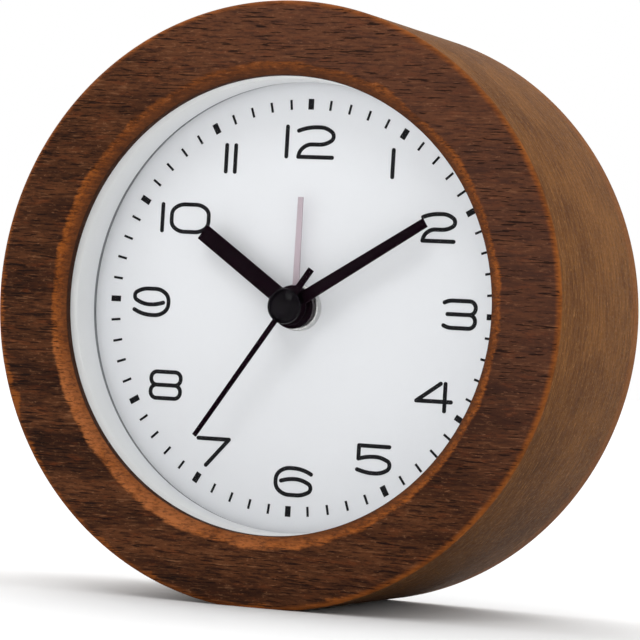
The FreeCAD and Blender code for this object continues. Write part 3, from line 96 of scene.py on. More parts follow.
class NodeSketch:
    """Node tree of one material, with short calls for the nodes that the finishes share."""

    MIX_SHARE = 0
    MIX_FIRST = 6
    MIX_SECOND = 7
    MIX_RESULT = 2

    def __init__(self, name: str) -> None:
        """Starts a material with its shader joined to its output."""
        self.material = bpy.data.materials.new(name)
        self.material.use_nodes = True
        self.tree = self.material.node_tree
        self.shader = self.tree.nodes["Principled BSDF"]

    def node(self, kind: str, **settings: object) -> bpy.types.Node:
        """Adds a node and sets its properties."""
        made = self.tree.nodes.new(kind)
        for key, value in settings.items():
            setattr(made, key, value)
        return made

    def feed(self, socket: Socket, value: object) -> None:
        """Links a socket to a socket, or sets its constant."""
        if isinstance(value, bpy.types.NodeSocket):
            self.tree.links.new(value, socket)
        elif isinstance(value, tuple) and len(value) == 3 and socket.type == "RGBA":
            socket.default_value = (*value, 1.0)
        else:
            socket.default_value = value

    def set(self, **values: object) -> None:
        """Sets inputs of the shader, named with underscores for spaces."""
        for key, value in values.items():
            self.feed(self.shader.inputs[key.replace("_", " ")], value)

    def place(self, centre: Vector = Vector()) -> Socket:
        """Object coordinates in millimetres about a centre that is given in metres."""
        source = self.node("ShaderNodeTexCoord")
        shift = self.node("ShaderNodeMapping")
        shift.inputs["Location"].default_value = -centre / MM
        shift.inputs["Scale"].default_value = Vector((1, 1, 1)) / MM
        self.feed(shift.inputs["Vector"], source.outputs["Object"])
        return shift.outputs["Vector"]

    def noise(self, vector: Socket, scale: float = 1.0, detail: float = 4.0,
              roughness: float = 0.55) -> Socket:
        """Value of a noise texture, about 0.5."""
        made = self.node("ShaderNodeTexNoise")
        for key, value in (("Vector", vector), ("Scale", scale), ("Detail", detail),
                           ("Roughness", roughness)):
            self.feed(made.inputs[key], value)
        return made.outputs["Fac"]

    def grain(self, vector: Socket, grain: Grain) -> Socket:
        """Value of a noise that is stretched and turned as the grain says."""
        mapping = self.node("ShaderNodeMapping")
        mapping.inputs["Scale"].default_value = grain.scale
        mapping.inputs["Rotation"].default_value = (0, math.radians(grain.turn), 0)
        self.feed(mapping.inputs["Vector"], vector)
        return self.noise(mapping.outputs["Vector"], detail=grain.detail,
                          roughness=grain.roughness)

    def sum(self, operation: str, first: object, second: object = 0.0, third: object = 0.0,
            clamp: bool = False) -> Socket:
        """Result of a Math node."""
        made = self.node("ShaderNodeMath", operation=operation, use_clamp=clamp)
        for socket, value in zip(made.inputs, (first, second, third)):
            self.feed(socket, value)
        return made.outputs[0]

    def rise(self, value: Socket, low: object, high: object) -> Socket:
        """Smooth step from 0 at low to 1 at high."""
        made = self.node("ShaderNodeMapRange", interpolation_type="SMOOTHSTEP")
        for key, given in (("Value", value), ("From Min", low), ("From Max", high)):
            self.feed(made.inputs[key], given)
        return made.outputs["Result"]

    def mask(self, value: Socket, ramp: Ramp) -> Socket:
        """Share of something that fades in along a ramp."""
        return self.sum("MULTIPLY", self.rise(value, ramp.low, ramp.high), ramp.share)

    def blend(self, share: object, first: object, second: object) -> Socket:
        """Mix of two colours."""
        made = self.node("ShaderNodeMix", data_type="RGBA", clamp_factor=True)
        self.feed(made.inputs[self.MIX_SHARE], share)
        self.feed(made.inputs[self.MIX_FIRST], first)
        self.feed(made.inputs[self.MIX_SECOND], second)
        return made.outputs[self.MIX_RESULT]

    def wash(self, base: Socket, colour: Colour, value: Socket, ramp: Ramp) -> Socket:
        """Lays a colour over another where a value runs along a ramp.

        Args:
            base: Colour underneath.
            colour: Colour laid over it.
            value: Pattern or coordinate that says where.
            ramp: Where the colour fades in, and how much of it.

        Returns:
            The mixed colour.
        """
        return self.blend(self.mask(value, ramp), base, colour)

    def split(self, vector: Socket) -> tuple[Socket, Socket, Socket]:
        """The three parts of a vector."""
        made = self.node("ShaderNodeSeparateXYZ")
        self.feed(made.inputs[0], vector)
        return made.outputs[0], made.outputs[1], made.outputs[2]

    def dull(self, pattern: Socket, middle: float, spread: float) -> None:
        """Sets a roughness that varies with a pattern, by a spread about its middle."""
        rough = self.sum("MULTIPLY_ADD", pattern, spread, middle - spread / 2, clamp=True)
        self.set(Roughness=rough)

    def bump(self, height: Socket, depth_mm: float, strength: float = 1.0) -> None:
        """Raises the surface by a height pattern of a real depth."""
        made = self.node("ShaderNodeBump")
        self.feed(made.inputs["Height"], height)
        self.feed(made.inputs["Distance"], depth_mm * MM)
        self.feed(made.inputs["Strength"], strength)
        self.feed(self.shader.inputs["Normal"], made.outputs["Normal"])


@dataclass(frozen=True)
class WoodShape:
    """Sizes of the wooden case in millimetres, with depths from the middle of the clock."""

    radius: float = 52.48
    lip: float = 39.7
    bevel_width: float = 2.2
    bevel_depth: float = 1.7
    front: float = -22.5
    back: float = 22.5


@dataclass(frozen=True)
class WoodTones:
    """Colours of the stained wood, and of the painted sheen, light and shade laid over it."""

    dark: Colour = tone(44, 23, 13)
    light: Colour = tone(92, 54, 31)
    red: Colour = tone(104, 52, 25)
    # Painted sheen: the cool grey laid over the face towards its upper right.
    sheen_grey: Colour = tone(92, 60, 50)
    pore: Colour = tone(22, 12, 10)
    fleck: Colour = tone(140, 96, 66)
    worn_dark: Colour = tone(106, 54, 18)
    worn_light: Colour = tone(158, 86, 32)
    pale_wear_and_light: Colour = tone(190, 118, 72)
    side_dark: Colour = tone(69, 38, 12)
    side_light: Colour = tone(119, 77, 35)
    side_fleck: Colour = tone(160, 112, 62)
    side_shade: Colour = tone(46, 26, 6)
    wall: Colour = tone(58, 36, 26)


@dataclass(frozen=True)
class WoodSpot:
    """What every layer of the wood reads at a point: coordinates in millimetres, and the fibre."""

    vector: Socket
    x: Socket
    z: Socket
    radius: Socket
    depth: Socket
    fibre: Socket


@dataclass(frozen=True)
class WoodFace:
    """Dark face: bands and streaks along the fibre, reddish clouds, flecks and open pores, with
    painted light towards the top and the foot and a painted grey sheen towards the upper right.
    """

    bands: Grain = Grain((0.03, 0.1, 0.2), 3.0, 4, 0.6)
    clouds: Grain = Grain((0.2, 0.4, 0.8), 3.0, 4, 0.65)
    clusters: Grain = Grain((0.08, 0.2, 0.3), 3.0, 2)
    dashes: Grain = Grain((0.26, 0.9, 3.4), -4.0, 3, 0.5)
    specks: Grain = Grain((1.0, 1.0, 3.0), 3.0, 3, 0.6)
    light: Ramp = Ramp(0.34, 0.74)
    # Painted light: the face is lightened towards its top and towards its foot.
    top_lean: float = 0.1
    top: Ramp = Ramp(6.0, 50.0, 0.22)
    foot: Ramp = Ramp(-26.0, -50.0, 0.08)
    reddish: Ramp = Ramp(0.5, 0.72, 0.55)
    dark_fibre: Ramp = Ramp(0.52, 0.34, 0.85)
    pale_fibre: Ramp = Ramp(0.56, 0.76, 0.6)
    dark_specks: Ramp = Ramp(0.5, 0.3, 0.5)
    pale_specks: Ramp = Ramp(0.58, 0.78, 0.6)
    painted_sheen: Ramp = Ramp(-10.0, 60.0, 0.3)
    pore_level: float = 0.72
    pore_cluster: float = -0.24
    pore_edge: float = 0.05

    def paint(self, sketch: NodeSketch, tones: WoodTones, spot: WoodSpot) -> tuple[Socket, Socket]:
        """Colour of the face, and the mask of its open pores."""
        # Painted light: the bands are lifted towards the top and towards the foot.
        height = sketch.sum("MULTIPLY_ADD", spot.x, self.top_lean, spot.z)
        foot = sketch.rise(spot.z, self.foot.low, self.foot.high)
        lit = sketch.sum("MULTIPLY_ADD", foot, self.foot.share, sketch.mask(height, self.top))
        bands = sketch.sum("ADD", sketch.grain(spot.vector, self.bands), lit)
        lights = sketch.rise(bands, self.light.low, self.light.high)
        base = sketch.blend(lights, tones.dark, tones.light)
        clouds = sketch.grain(spot.vector, self.clouds)
        base = sketch.wash(base, tones.red, clouds, self.reddish)
        base = sketch.wash(base, tones.dark, spot.fibre, self.dark_fibre)
        base = sketch.wash(base, tones.fleck, spot.fibre, self.pale_fibre)
        specks = sketch.grain(spot.vector, self.specks)
        base = sketch.wash(base, tones.pore, specks, self.dark_specks)
        base = sketch.wash(base, tones.fleck, specks, self.pale_specks)
        # Painted sheen: cool grey washed over the face towards its upper right.
        across = sketch.sum("ADD", spot.x, spot.z)
        return sketch.wash(base, tones.sheen_grey, across, self.painted_sheen), self.pores(sketch, spot)

    def pores(self, sketch: NodeSketch, spot: WoodSpot) -> Socket:
        """Mask of the open pores: short slanted dashes, closer together in clusters."""
        dashes = sketch.grain(spot.vector, self.dashes)
        clusters = sketch.grain(spot.vector, self.clusters)
        level = sketch.sum("MULTIPLY_ADD", clusters, self.pore_cluster, self.pore_level)
        return sketch.rise(sketch.sum("SUBTRACT", dashes, level), 0.0, self.pore_edge)


@dataclass(frozen=True)
class WoodSide:
    """Paler turned side: fine lines round it, shade underneath and an orange tint at the back."""

    lines: Grain = Grain((0.16, 2.2, 0.16), 0.0, 6, 0.7)
    dashes: Grain = Grain((0.34, 4.2, 0.34), 0.0, 3, 0.6)
    specks: Grain = Grain((1.0, 4.0, 1.0), 0.0, 2)
    line_share: float = 0.62
    cloud_share: float = 0.38
    light: Ramp = Ramp(0.3, 0.7)
    under: Ramp = Ramp(6.0, -46.0, 0.55)
    tint: Ramp = Ramp(0.0, 3.0, 0.18)
    tint_width: float = 8.0
    tint_wander: float = 5.0
    dark_dashes: Ramp = Ramp(0.42, 0.28, 0.6)
    pale_dashes: Ramp = Ramp(0.56, 0.72, 0.45)
    pale_specks: Ramp = Ramp(0.62, 0.72, 0.6)

    def paint(self, sketch: NodeSketch, tones: WoodTones, spot: WoodSpot,
              shape: WoodShape) -> Socket:
        """Colour of the side."""
        lines = sketch.sum("MULTIPLY", sketch.grain(spot.vector, self.lines), self.line_share)
        cloud = sketch.noise(spot.vector, scale=0.07, detail=4, roughness=0.6)
        share = sketch.sum("ADD", lines, sketch.sum("MULTIPLY", cloud, self.cloud_share))
        lights = sketch.rise(share, self.light.low, self.light.high)
        base = sketch.blend(lights, tones.side_dark, tones.side_light)
        base = sketch.wash(base, tones.side_shade, spot.z, self.under)
        length = shape.back - shape.front - self.tint_width
        rear = sketch.sum("MULTIPLY_ADD", cloud, self.tint_wander, length)
        past = sketch.sum("SUBTRACT", spot.depth, rear)
        base = sketch.wash(base, tones.worn_light, past, self.tint)
        dashes = sketch.grain(spot.vector, self.dashes)
        base = sketch.wash(base, tones.dark, dashes, self.dark_dashes)
        base = sketch.wash(base, tones.side_fleck, dashes, self.pale_dashes)
        specks = sketch.grain(spot.vector, self.specks)
        return sketch.wash(base, tones.side_fleck, specks, self.pale_specks)


@dataclass(frozen=True)
class WoodWearAndLight:
    """Orange wear along the outer edge and the lip, painted light and shade on the lip's bevel, and
    the darker wall inside the lip.
    """

    worn: Ramp = Ramp(0.75, 1.25)
    fibre_share: float = 0.4
    left: Ramp = Ramp(0.0, -60.0, 1.4)
    reach_gain: float = 6.0
    reach_base: float = -4.9
    reach_least: float = 0.5
    reach_soft: float = 0.7
    reach_hard: float = 0.2
    edge_share: float = 0.62
    # Wear and painted light pale the bevel's lower left; painted shade darkens its top.
    low_lean: float = 0.7
    low: Ramp = Ramp(-22.0, -50.0)
    pale: Ramp = Ramp(0.36, 0.62, 0.48)
    top: Ramp = Ramp(8.0, 42.0, 0.45)
    speckle: Grain = Grain((0.7, 1.3, 2.4), -4.0, 4, 0.7)
    dark_speckle: Ramp = Ramp(0.54, 0.36, 0.6)
    pale_speckle: Ramp = Ramp(0.55, 0.75, 0.5)
    border_gain: float = 2.4
    border_inset: float = 1.8
    border: Ramp = Ramp(0.4, -0.3, 0.92)
    # Painted shade: the bevel darkens towards the wall, less at its lower part.
    fall_gain: float = 1.2
    fall_start: float = 0.9
    fall_past: float = 0.5
    drop: float = 0.7
    drop_low: float = -0.4
    inside_soft: float = 0.15
    inside_from: float = 0.5
    inside_full: float = 0.25

    def paint(self, sketch: NodeSketch, tones: WoodTones, spot: WoodSpot, shape: WoodShape,
              colour: Socket) -> Socket:
        """Lays the wear, and the bevel's painted light and shade, over the wood.

        Args:
            sketch: Tree that the nodes go in.
            tones: Colours of the wood.
            spot: Coordinates and fibre.
            shape: Sizes of the case.
            colour: Colour of the unworn wood.

        Returns:
            Colour of the worn wood, with the bevel's painted light and shade.
        """
        patch = sketch.noise(spot.vector, scale=0.11, detail=5, roughness=0.65)
        ragged = sketch.sum("MULTIPLY_ADD", spot.fibre, self.fibre_share, patch)
        mixed = sketch.rise(sketch.sum("ADD", spot.fibre, patch), self.worn.low, self.worn.high)
        worn = sketch.blend(mixed, tones.worn_dark, tones.worn_light)
        edge = sketch.sum("MULTIPLY", self.edge(sketch, spot, shape, ragged), self.edge_share)
        colour = sketch.blend(edge, colour, worn)
        border = sketch.sum("MULTIPLY_ADD", ragged, self.border_gain,
                            shape.lip + shape.bevel_width - self.border_inset)
        bevel = self.bevel(sketch, tones, spot, shape, patch, worn)
        colour = sketch.blend(sketch.mask(sketch.sum("SUBTRACT", spot.radius, border), self.border),
                              colour, bevel)
        behind = sketch.rise(spot.depth, shape.bevel_depth - self.inside_soft,
                             shape.bevel_depth + self.inside_soft)
        within = sketch.rise(spot.radius, shape.lip + self.inside_from,
                             shape.lip + self.inside_full)
        return sketch.blend(sketch.sum("MULTIPLY", behind, within), colour, tones.wall)

    def edge(self, sketch: NodeSketch, spot: WoodSpot, shape: WoodShape, ragged: Socket) -> Socket:
        """Mask of the outer edge, where the wear reaches further at the lower left."""
        left = sketch.mask(sketch.sum("ADD", spot.x, spot.z), self.left)
        reach = sketch.sum("MULTIPLY_ADD", ragged, self.reach_gain,
                           sketch.sum("ADD", left, self.reach_base))
        reach = sketch.sum("MAXIMUM", reach, self.reach_least)
        inward = sketch.sum("SUBTRACT", shape.radius, spot.radius)
        from_edge = sketch.sum("MAXIMUM", inward, spot.depth)
        return sketch.rise(from_edge, sketch.sum("ADD", reach, self.reach_soft),
                           sketch.sum("SUBTRACT", reach, self.reach_hard))

    def bevel(self, sketch: NodeSketch, tones: WoodTones, spot: WoodSpot, shape: WoodShape,
              patch: Socket, worn: Socket) -> Socket:
        """Colour of the lip's bevel: palest at the lower left, from wear and painted light; painted
        shade darkens its top and its part towards the wall.
        """
        # Wear and painted light: the bevel is palest at its lower left.
        low = sketch.rise(sketch.sum("MULTIPLY_ADD", spot.x, self.low_lean, spot.z),
                          self.low.low, self.low.high)
        pale = sketch.sum("MULTIPLY", low, sketch.rise(patch, self.pale.low, self.pale.high))
        lit = sketch.blend(sketch.sum("MULTIPLY", pale, self.pale.share), worn, tones.pale_wear_and_light)
        # Painted shade: the bevel darkens towards its top.
        lit = sketch.wash(lit, tones.wall, spot.z, self.top)
        speckle = sketch.grain(spot.vector, self.speckle)
        lit = sketch.wash(lit, tones.wall, speckle, self.dark_speckle)
        lit = sketch.wash(lit, tones.pale_wear_and_light, speckle, self.pale_speckle)
        # Painted shade: darker deeper into the recess, and less so at the lower part.
        fall = sketch.rise(sketch.sum("MULTIPLY_ADD", patch, self.fall_gain, spot.depth),
                           self.fall_start, shape.bevel_depth + self.fall_past)
        drop = sketch.sum("MULTIPLY_ADD", low, self.drop_low, self.drop)
        return sketch.blend(sketch.sum("MULTIPLY", fall, drop), lit, tones.wall)


@dataclass(frozen=True)
class Walnut:
    """Stained wood: dark on the face, paler round the side, worn to orange along its edges."""

    centre: Vector
    shape: WoodShape = WoodShape()
    tones: WoodTones = WoodTones()
    face: WoodFace = WoodFace()
    side: WoodSide = WoodSide()
    wear: WoodWearAndLight = WoodWearAndLight()
    fibre: Grain = Grain((0.26, 0.9, 2.3), 3.0, 5, 0.62)
    side_from: float = 0.5
    side_full: float = 0.1
    pores_from: float = 0.6
    pores_full: float = 2.2
    pore_share: float = 0.8
    pore_sink: float = 1.2
    rough: Ramp = Ramp(-1.1, 1.4)
    shine: float = 0.06
    relief_mm: float = 0.14
    relief_strength: float = 0.8

    def build(self) -> bpy.types.Material:
        """Makes the material.

        Returns:
            The wood's material, in coordinates about the dial's centre.
        """
        sketch = NodeSketch("stained_walnut")
        shape, tones = self.shape, self.tones
        vector = sketch.place(self.centre)
        x, y, z = sketch.split(vector)
        square = sketch.sum("MULTIPLY_ADD", x, x, sketch.sum("MULTIPLY", z, z))
        spot = WoodSpot(vector, x, z, sketch.sum("SQRT", square),
                        sketch.sum("SUBTRACT", y, shape.front), sketch.grain(vector, self.fibre))
        face, pores = self.face.paint(sketch, tones, spot)
        side = self.side.paint(sketch, tones, spot, shape)
        turned = sketch.rise(spot.radius, shape.radius - self.side_from,
                             shape.radius - self.side_full)
        colour = self.wear.paint(sketch, tones, spot, shape, sketch.blend(turned, face, side))
        pores = sketch.sum("MULTIPLY", pores, sketch.sum("SUBTRACT", 1.0, turned))
        past_lip = sketch.rise(spot.radius, shape.lip + self.pores_from,
                               shape.lip + self.pores_full)
        pores = sketch.sum("MULTIPLY", pores, past_lip)
        colour = sketch.blend(sketch.sum("MULTIPLY", pores, self.pore_share), colour, tones.pore)
        rough = sketch.rise(spot.fibre, self.rough.low, self.rough.high)
        sketch.set(Base_Color=colour, Roughness=rough, Specular_IOR_Level=self.shine)
        sunk = sketch.sum("MULTIPLY", pores, self.pore_sink)
        sketch.bump(sketch.sum("SUBTRACT", spot.fibre, sunk), self.relief_mm, self.relief_strength)
        return sketch.material


@dataclass(frozen=True)
class Moulded:
    """Moulded plastic, print or lacquer: one colour with fine mottling and grain."""

    name: str
    colour: Colour
    roughness: float = 0.45
    mottle: float = 0.06
    grain_mm: float = 0.6
    depth_mm: float = 0.004
    coat: float = 0.0
    shine: float = 0.3
    clouds_per_grain: float = 0.12
    clouds: Ramp = Ramp(0.3, 0.7)
    roughness_spread: float = 0.12

    def build(self) -> bpy.types.Material:
        """Makes the material."""
        sketch = NodeSketch(self.name)
        point = sketch.place()
        cloud = sketch.noise(point, self.clouds_per_grain / self.grain_mm, detail=3)
        grain = sketch.noise(point, 1 / self.grain_mm, detail=2)
        darker = tuple(value * (1 - self.mottle) for value in self.colour)
        lighter = tuple(min(1.0, value * (1 + self.mottle)) for value in self.colour)
        clouds = sketch.rise(cloud, self.clouds.low, self.clouds.high)
        sketch.set(Base_Color=sketch.blend(clouds, darker, lighter), Coat_Weight=self.coat,
                   Specular_IOR_Level=self.shine)
        sketch.dull(grain, self.roughness, self.roughness_spread)
        sketch.bump(grain, self.depth_mm)
        return sketch.material


@dataclass(frozen=True)
class RingWhite:
    """White moulded ring, with painted shadow as a thin grey line where it meets the dial; its
    white turns a touch lighter towards the dial, painted light.
    """

    centre: Vector
    front: float
    dial: float
    line_height: float
    bright: Colour = tone(240, 241, 240)
    # Painted light: the white near the dial is a touch lighter and bluer than at the lip.
    deep: Colour = tone(242, 243, 244)
    # Painted shadow: the grey of the line where the ring meets the dial.
    line: Colour = tone(122, 124, 127)
    line_soft: float = 0.1
    deep_before: float = 1.0
    roughness: float = 0.4
    roughness_spread: float = 0.1
    shine: float = 0.25
    grain_per_mm: float = 0.8
    depth_mm: float = 0.002

    def build(self) -> bpy.types.Material:
        """Makes the material."""
        sketch = NodeSketch("white_ring")
        point = sketch.place(self.centre)
        _, depth, _ = sketch.split(point)
        # Painted light towards the dial, then the painted shadow line at the gap.
        inward = sketch.rise(depth, self.front, self.dial - self.deep_before)
        start = self.dial - self.line_height
        line = sketch.rise(depth, start - self.line_soft, start + self.line_soft)
        wall = sketch.blend(inward, self.bright, self.deep)
        sketch.set(Base_Color=sketch.blend(line, wall, self.line), Specular_IOR_Level=self.shine)
        grain = sketch.noise(point, self.grain_per_mm, detail=2)
        sketch.dull(grain, self.roughness, self.roughness_spread)
        sketch.bump(grain, self.depth_mm)
        return sketch.material


@dataclass(frozen=True)
class Metal:
    """Plated or machined metal with fine turning lines."""

    name: str
    colour: Colour
    roughness: float = 0.25
    lines: Point3 = (6.0, 6.0, 6.0)
    scratches: Ramp = Ramp(0.3, 0.7)
    dulled: float = 0.82
    roughness_spread: float = 0.2
    depth_mm: float = 0.003

    def build(self) -> bpy.types.Material:
        """Makes the material."""
        sketch = NodeSketch(self.name)
        scratches = sketch.grain(sketch.place(), Grain(self.lines, detail=3))
        dark = tuple(value * self.dulled for value in self.colour)
        share = sketch.rise(scratches, self.scratches.low, self.scratches.high)
        sketch.set(Base_Color=sketch.blend(share, dark, self.colour), Metallic=1.0)
        sketch.dull(scratches, self.roughness, self.roughness_spread)
        sketch.bump(scratches, self.depth_mm)
        return sketch.material


@dataclass(frozen=True)
class ClearPane:
    """Clear pane: mostly let through, with a faint reflection that grows at a slant."""

    name: str = "clear_pane"
    roughness: float = 0.03
    index: float = 1.06

    def build(self) -> bpy.types.Material:
        """Makes the material."""
        sketch = NodeSketch(self.name)
        weight = sketch.node("ShaderNodeFresnel")
        weight.inputs["IOR"].default_value = self.index
        clear = sketch.node("ShaderNodeBsdfTransparent")
        gloss = sketch.node("ShaderNodeBsdfGlossy")
        gloss.inputs["Roughness"].default_value = self.roughness
        mixed = sketch.node("ShaderNodeMixShader")
        for socket, source in zip(mixed.inputs, (weight, clear, gloss)):
            sketch.feed(socket, source.outputs[0])
        sketch.tree.nodes.remove(sketch.shader)
        output = sketch.tree.nodes["Material Output"]
        sketch.feed(output.inputs["Surface"], mixed.outputs[0])
        return sketch.material


def dress(node: str, material: bpy.types.Material) -> None:
    """Gives a CAD node its material."""
    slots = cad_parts[node].data.materials
    slots.clear()
    slots.append(material)
    LOG.info("dressed %s with %s", node, material.name)


@dataclass(frozen=True)
class Ring:
    """One corner of a turned profile: its radius and depth in millimetres, and its rounding."""

    radius: float
    depth: float
    rounding: float = 0.0


class Workshop:
    """Makes meshes in the row frame, in millimetres about the dial's centre."""

    BEVEL_PROFILE = 0.5
    SLAB_SEGMENTS = 2

    def __init__(self, centre: Vector) -> None:
        """Keeps the dial's centre, in metres."""
        self.centre = centre
        self.pieces: list[bpy.types.Object] = []

    def piece(self, name: str, shape: bmesh.types.BMesh, material: bpy.types.Material, body: Body,
              replaces: Iterable[str], slot: str, angle: float = 32.0) -> None:
        """Turns a shape into a finished piece of the clock.

        Args:
            name: Name of the piece.
            shape: Mesh in millimetres about the dial's centre; it is freed.
            material: Finish of the piece.
            body: Body that the piece rides on.
            replaces: CAD nodes that the piece stands for.
            slot: Material slot of the record; not used.
            angle: Edges sharper than this many degrees stay sharp.
        """
        bmesh.ops.scale(shape, vec=(MM, MM, MM), verts=shape.verts)
        bmesh.ops.translate(shape, vec=self.centre, verts=shape.verts)
        mesh = bpy.data.meshes.new(name)
        shape.to_mesh(mesh)
        shape.free()
        mesh.shade_smooth()
        mesh.set_sharp_from_angle(angle=math.radians(angle))
        mesh.materials.append(material)
        made = bpy.data.objects.new(name, mesh)
        bpy.context.scene.collection.objects.link(made)
        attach(made, body.value)
        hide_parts(*replaces)
        self.pieces.append(made)

    def turned(self, profile: Sequence[Ring], steps: int, segments: int = 4) -> bmesh.types.BMesh:
        """Shape of revolution about the dial axis.

        Args:
            profile: Corners of a closed profile, in order.
            steps: Steps round the axis.
            segments: Segments in each rounding.

        Returns:
            The closed shape, with its corners rounded.
        """
        shape = bmesh.new()
        corners = [shape.verts.new((ring.radius, ring.depth, 0)) for ring in profile]
        edges = [shape.edges.new(pair) for pair in zip(corners, corners[1:] + corners[:1])]
        bmesh.ops.spin(shape, geom=corners + edges, cent=(0, 0, 0), axis=(0, 1, 0),
                       angle=2 * math.pi, steps=steps, use_merge=True)
        bmesh.ops.remove_doubles(shape, verts=shape.verts, dist=MERGE_MM)
        loose = [edge for edge in shape.edges if not edge.link_faces]
        bmesh.ops.delete(shape, geom=loose, context="EDGES")
        bmesh.ops.recalc_face_normals(shape, faces=shape.faces)
        for ring in profile:
            if ring.rounding:
                self.round_ring(shape, ring, segments)
        return shape

    def round_ring(self, shape: bmesh.types.BMesh, ring: Ring, segments: int) -> None:
        """Rounds the edge that runs round a turned shape at one corner of its profile."""
        def on_ring(vert: bmesh.types.BMVert) -> bool:
            radius = math.hypot(vert.co.x, vert.co.z)
            return (abs(radius - ring.radius) < ON_RING_MM
                    and abs(vert.co.y - ring.depth) < ON_RING_MM)
        edges = [edge for edge in shape.edges if all(on_ring(vert) for vert in edge.verts)]
        self.ease(shape, edges, ring.rounding, segments)

    def ease(self, shape: bmesh.types.BMesh, edges: Sequence[bmesh.types.BMEdge], rounding: float,
             segments: int) -> None:
        """Rounds edges of a shape."""
        bmesh.ops.bevel(shape, geom=edges, offset=rounding, offset_type="OFFSET",
                        segments=segments, profile=self.BEVEL_PROFILE, affect="EDGES",
                        clamp_overlap=True, material=-1)

    def slab(self, outline: Sequence[Point2], front: float, rear: float,
             rounding: float) -> bmesh.types.BMesh:
        """Flat piece with softened edges.

        Args:
            outline: Closed (x, z) outline.
            front: Depth of its front.
            rear: Depth of its rear.
            rounding: Rounding of its edges.

        Returns:
            The closed shape.
        """
        shape = bmesh.new()
        face = shape.faces.new([shape.verts.new((x, front, z)) for x, z in outline])
        grown = bmesh.ops.extrude_face_region(shape, geom=[face])
        moved = [item for item in grown["geom"] if isinstance(item, bmesh.types.BMVert)]
        bmesh.ops.translate(shape, vec=(0, rear - front, 0), verts=moved)
        bmesh.ops.recalc_face_normals(shape, faces=shape.faces)
        self.ease(shape, list(shape.edges), rounding, self.SLAB_SEGMENTS)
        return shape

    def joined(self, shapes: Sequence[bmesh.types.BMesh]) -> bmesh.types.BMesh:
        """One shape that holds several; the others are freed."""
        whole = shapes[0]
        for shape in shapes[1:]:
            carrier = bpy.data.meshes.new("carrier")
            shape.to_mesh(carrier)
            whole.from_mesh(carrier)
            shape.free()
            bpy.data.meshes.remove(carrier)
        return whole


@dataclass
class Case:
    """Turned wooden case with its bevelled lip and the flat that it stands on."""

    workshop: Workshop
    finish: Walnut
    bore: float = 43.9
    rebate: float = 48.5
    shoulder: float = 15.6
    lip_rear: float = -19.4
    edge_ease: float = 0.9
    rebate_ease: float = 0.5
    lip_ease: float = 0.25
    steps: int = 320

    def build(self) -> None:
        """Makes the case in place of its CAD solid."""
        wood = self.finish.shape
        profile = [
            Ring(wood.radius, wood.front, self.edge_ease),
            Ring(wood.radius, wood.back, self.edge_ease),
            Ring(self.rebate, wood.back, self.rebate_ease),
            Ring(self.rebate, self.shoulder),
            Ring(self.bore, self.shoulder),
            Ring(self.bore, self.lip_rear),
            Ring(wood.lip, self.lip_rear),
            Ring(wood.lip, wood.front + wood.bevel_depth, self.lip_ease),
            Ring(wood.lip + wood.bevel_width, wood.front, self.lip_ease),
        ]
        shape = self.workshop.turned(profile, self.steps)
        floor = -self.workshop.centre.z / MM
        cut = bmesh.ops.bisect_plane(shape, geom=shape.verts[:] + shape.edges[:] + shape.faces[:],
                                     plane_co=(0, 0, floor), plane_no=(0, 0, -1), clear_outer=True)
        rim = [item for item in cut["geom_cut"] if isinstance(item, bmesh.types.BMEdge)]
        bmesh.ops.holes_fill(shape, edges=rim, sides=0)
        finish = self.finish.build()
        self.workshop.piece("case_wood", shape, finish, Body.CLOCK, ["wood_case"], "walnut")


@dataclass
class Face:
    """What shows through the lens: the white ring, the dial and its print, and the lens."""

    workshop: Workshop
    ring_outer: float = 43.75
    ring_bore: float = 39.5
    seat: float = 41.65
    lip_rear: float = -19.4
    lens_rear: float = -18.1
    dial: float = -9.1
    dial_rear: float = -8.3
    gap: float = 1.2
    gap_depth: float = 0.2
    front_chamfer: float = 1.0
    bore_ease: float = 0.15
    front_ease: float = 0.1
    steps: int = 256

    def build(self) -> None:
        """Makes the white ring and dresses the dial, its print and the lens."""
        white = RingWhite(self.workshop.centre, self.lens_rear, self.dial, self.gap).build()
        profile = [
            Ring(self.ring_outer, self.lip_rear),
            Ring(self.ring_outer, self.dial_rear),
            Ring(self.seat, self.dial_rear),
            Ring(self.seat, self.dial),
            Ring(self.ring_bore + self.gap_depth, self.dial),
            Ring(self.ring_bore + self.gap_depth, self.dial - self.gap),
            Ring(self.ring_bore, self.dial - self.gap, self.bore_ease),
            Ring(self.ring_bore, self.lens_rear + self.front_chamfer, self.bore_ease),
            Ring(self.ring_bore + self.front_chamfer, self.lens_rear, self.front_ease),
            Ring(self.seat, self.lens_rear),
            Ring(self.seat, self.lip_rear),
        ]
        shape = self.workshop.turned(profile, self.steps)
        self.workshop.piece("dial_ring_turned", shape, white, Body.CLOCK, ["dial_ring"],
                            "white_ring")
        dial = Moulded("dial_white", tone(234, 236, 239), roughness=0.5, mottle=0.006,
                       grain_mm=2.0, depth_mm=0.001)
        ink = Moulded("dial_ink", tone(22, 22, 25), roughness=0.5, mottle=0.1, grain_mm=0.5,
                      depth_mm=0.001, shine=0.1).build()
        dress("dial_plate", dial.build())
        dress("minute_track", ink)
        dress("dial_numerals", ink)
        dress("lens", ClearPane().build())


@dataclass(frozen=True)
class HandSize:
    """Sizes of one hand, in millimetres, and its turn clockwise from twelve."""

    name: str
    node: str
    slot: str
    body: Body
    turn: float
    length: float
    root: float
    tip: float
    hub: float
    lift: float
    tube: float
    tail: float = 0.0
    tail_width: float = 0.0


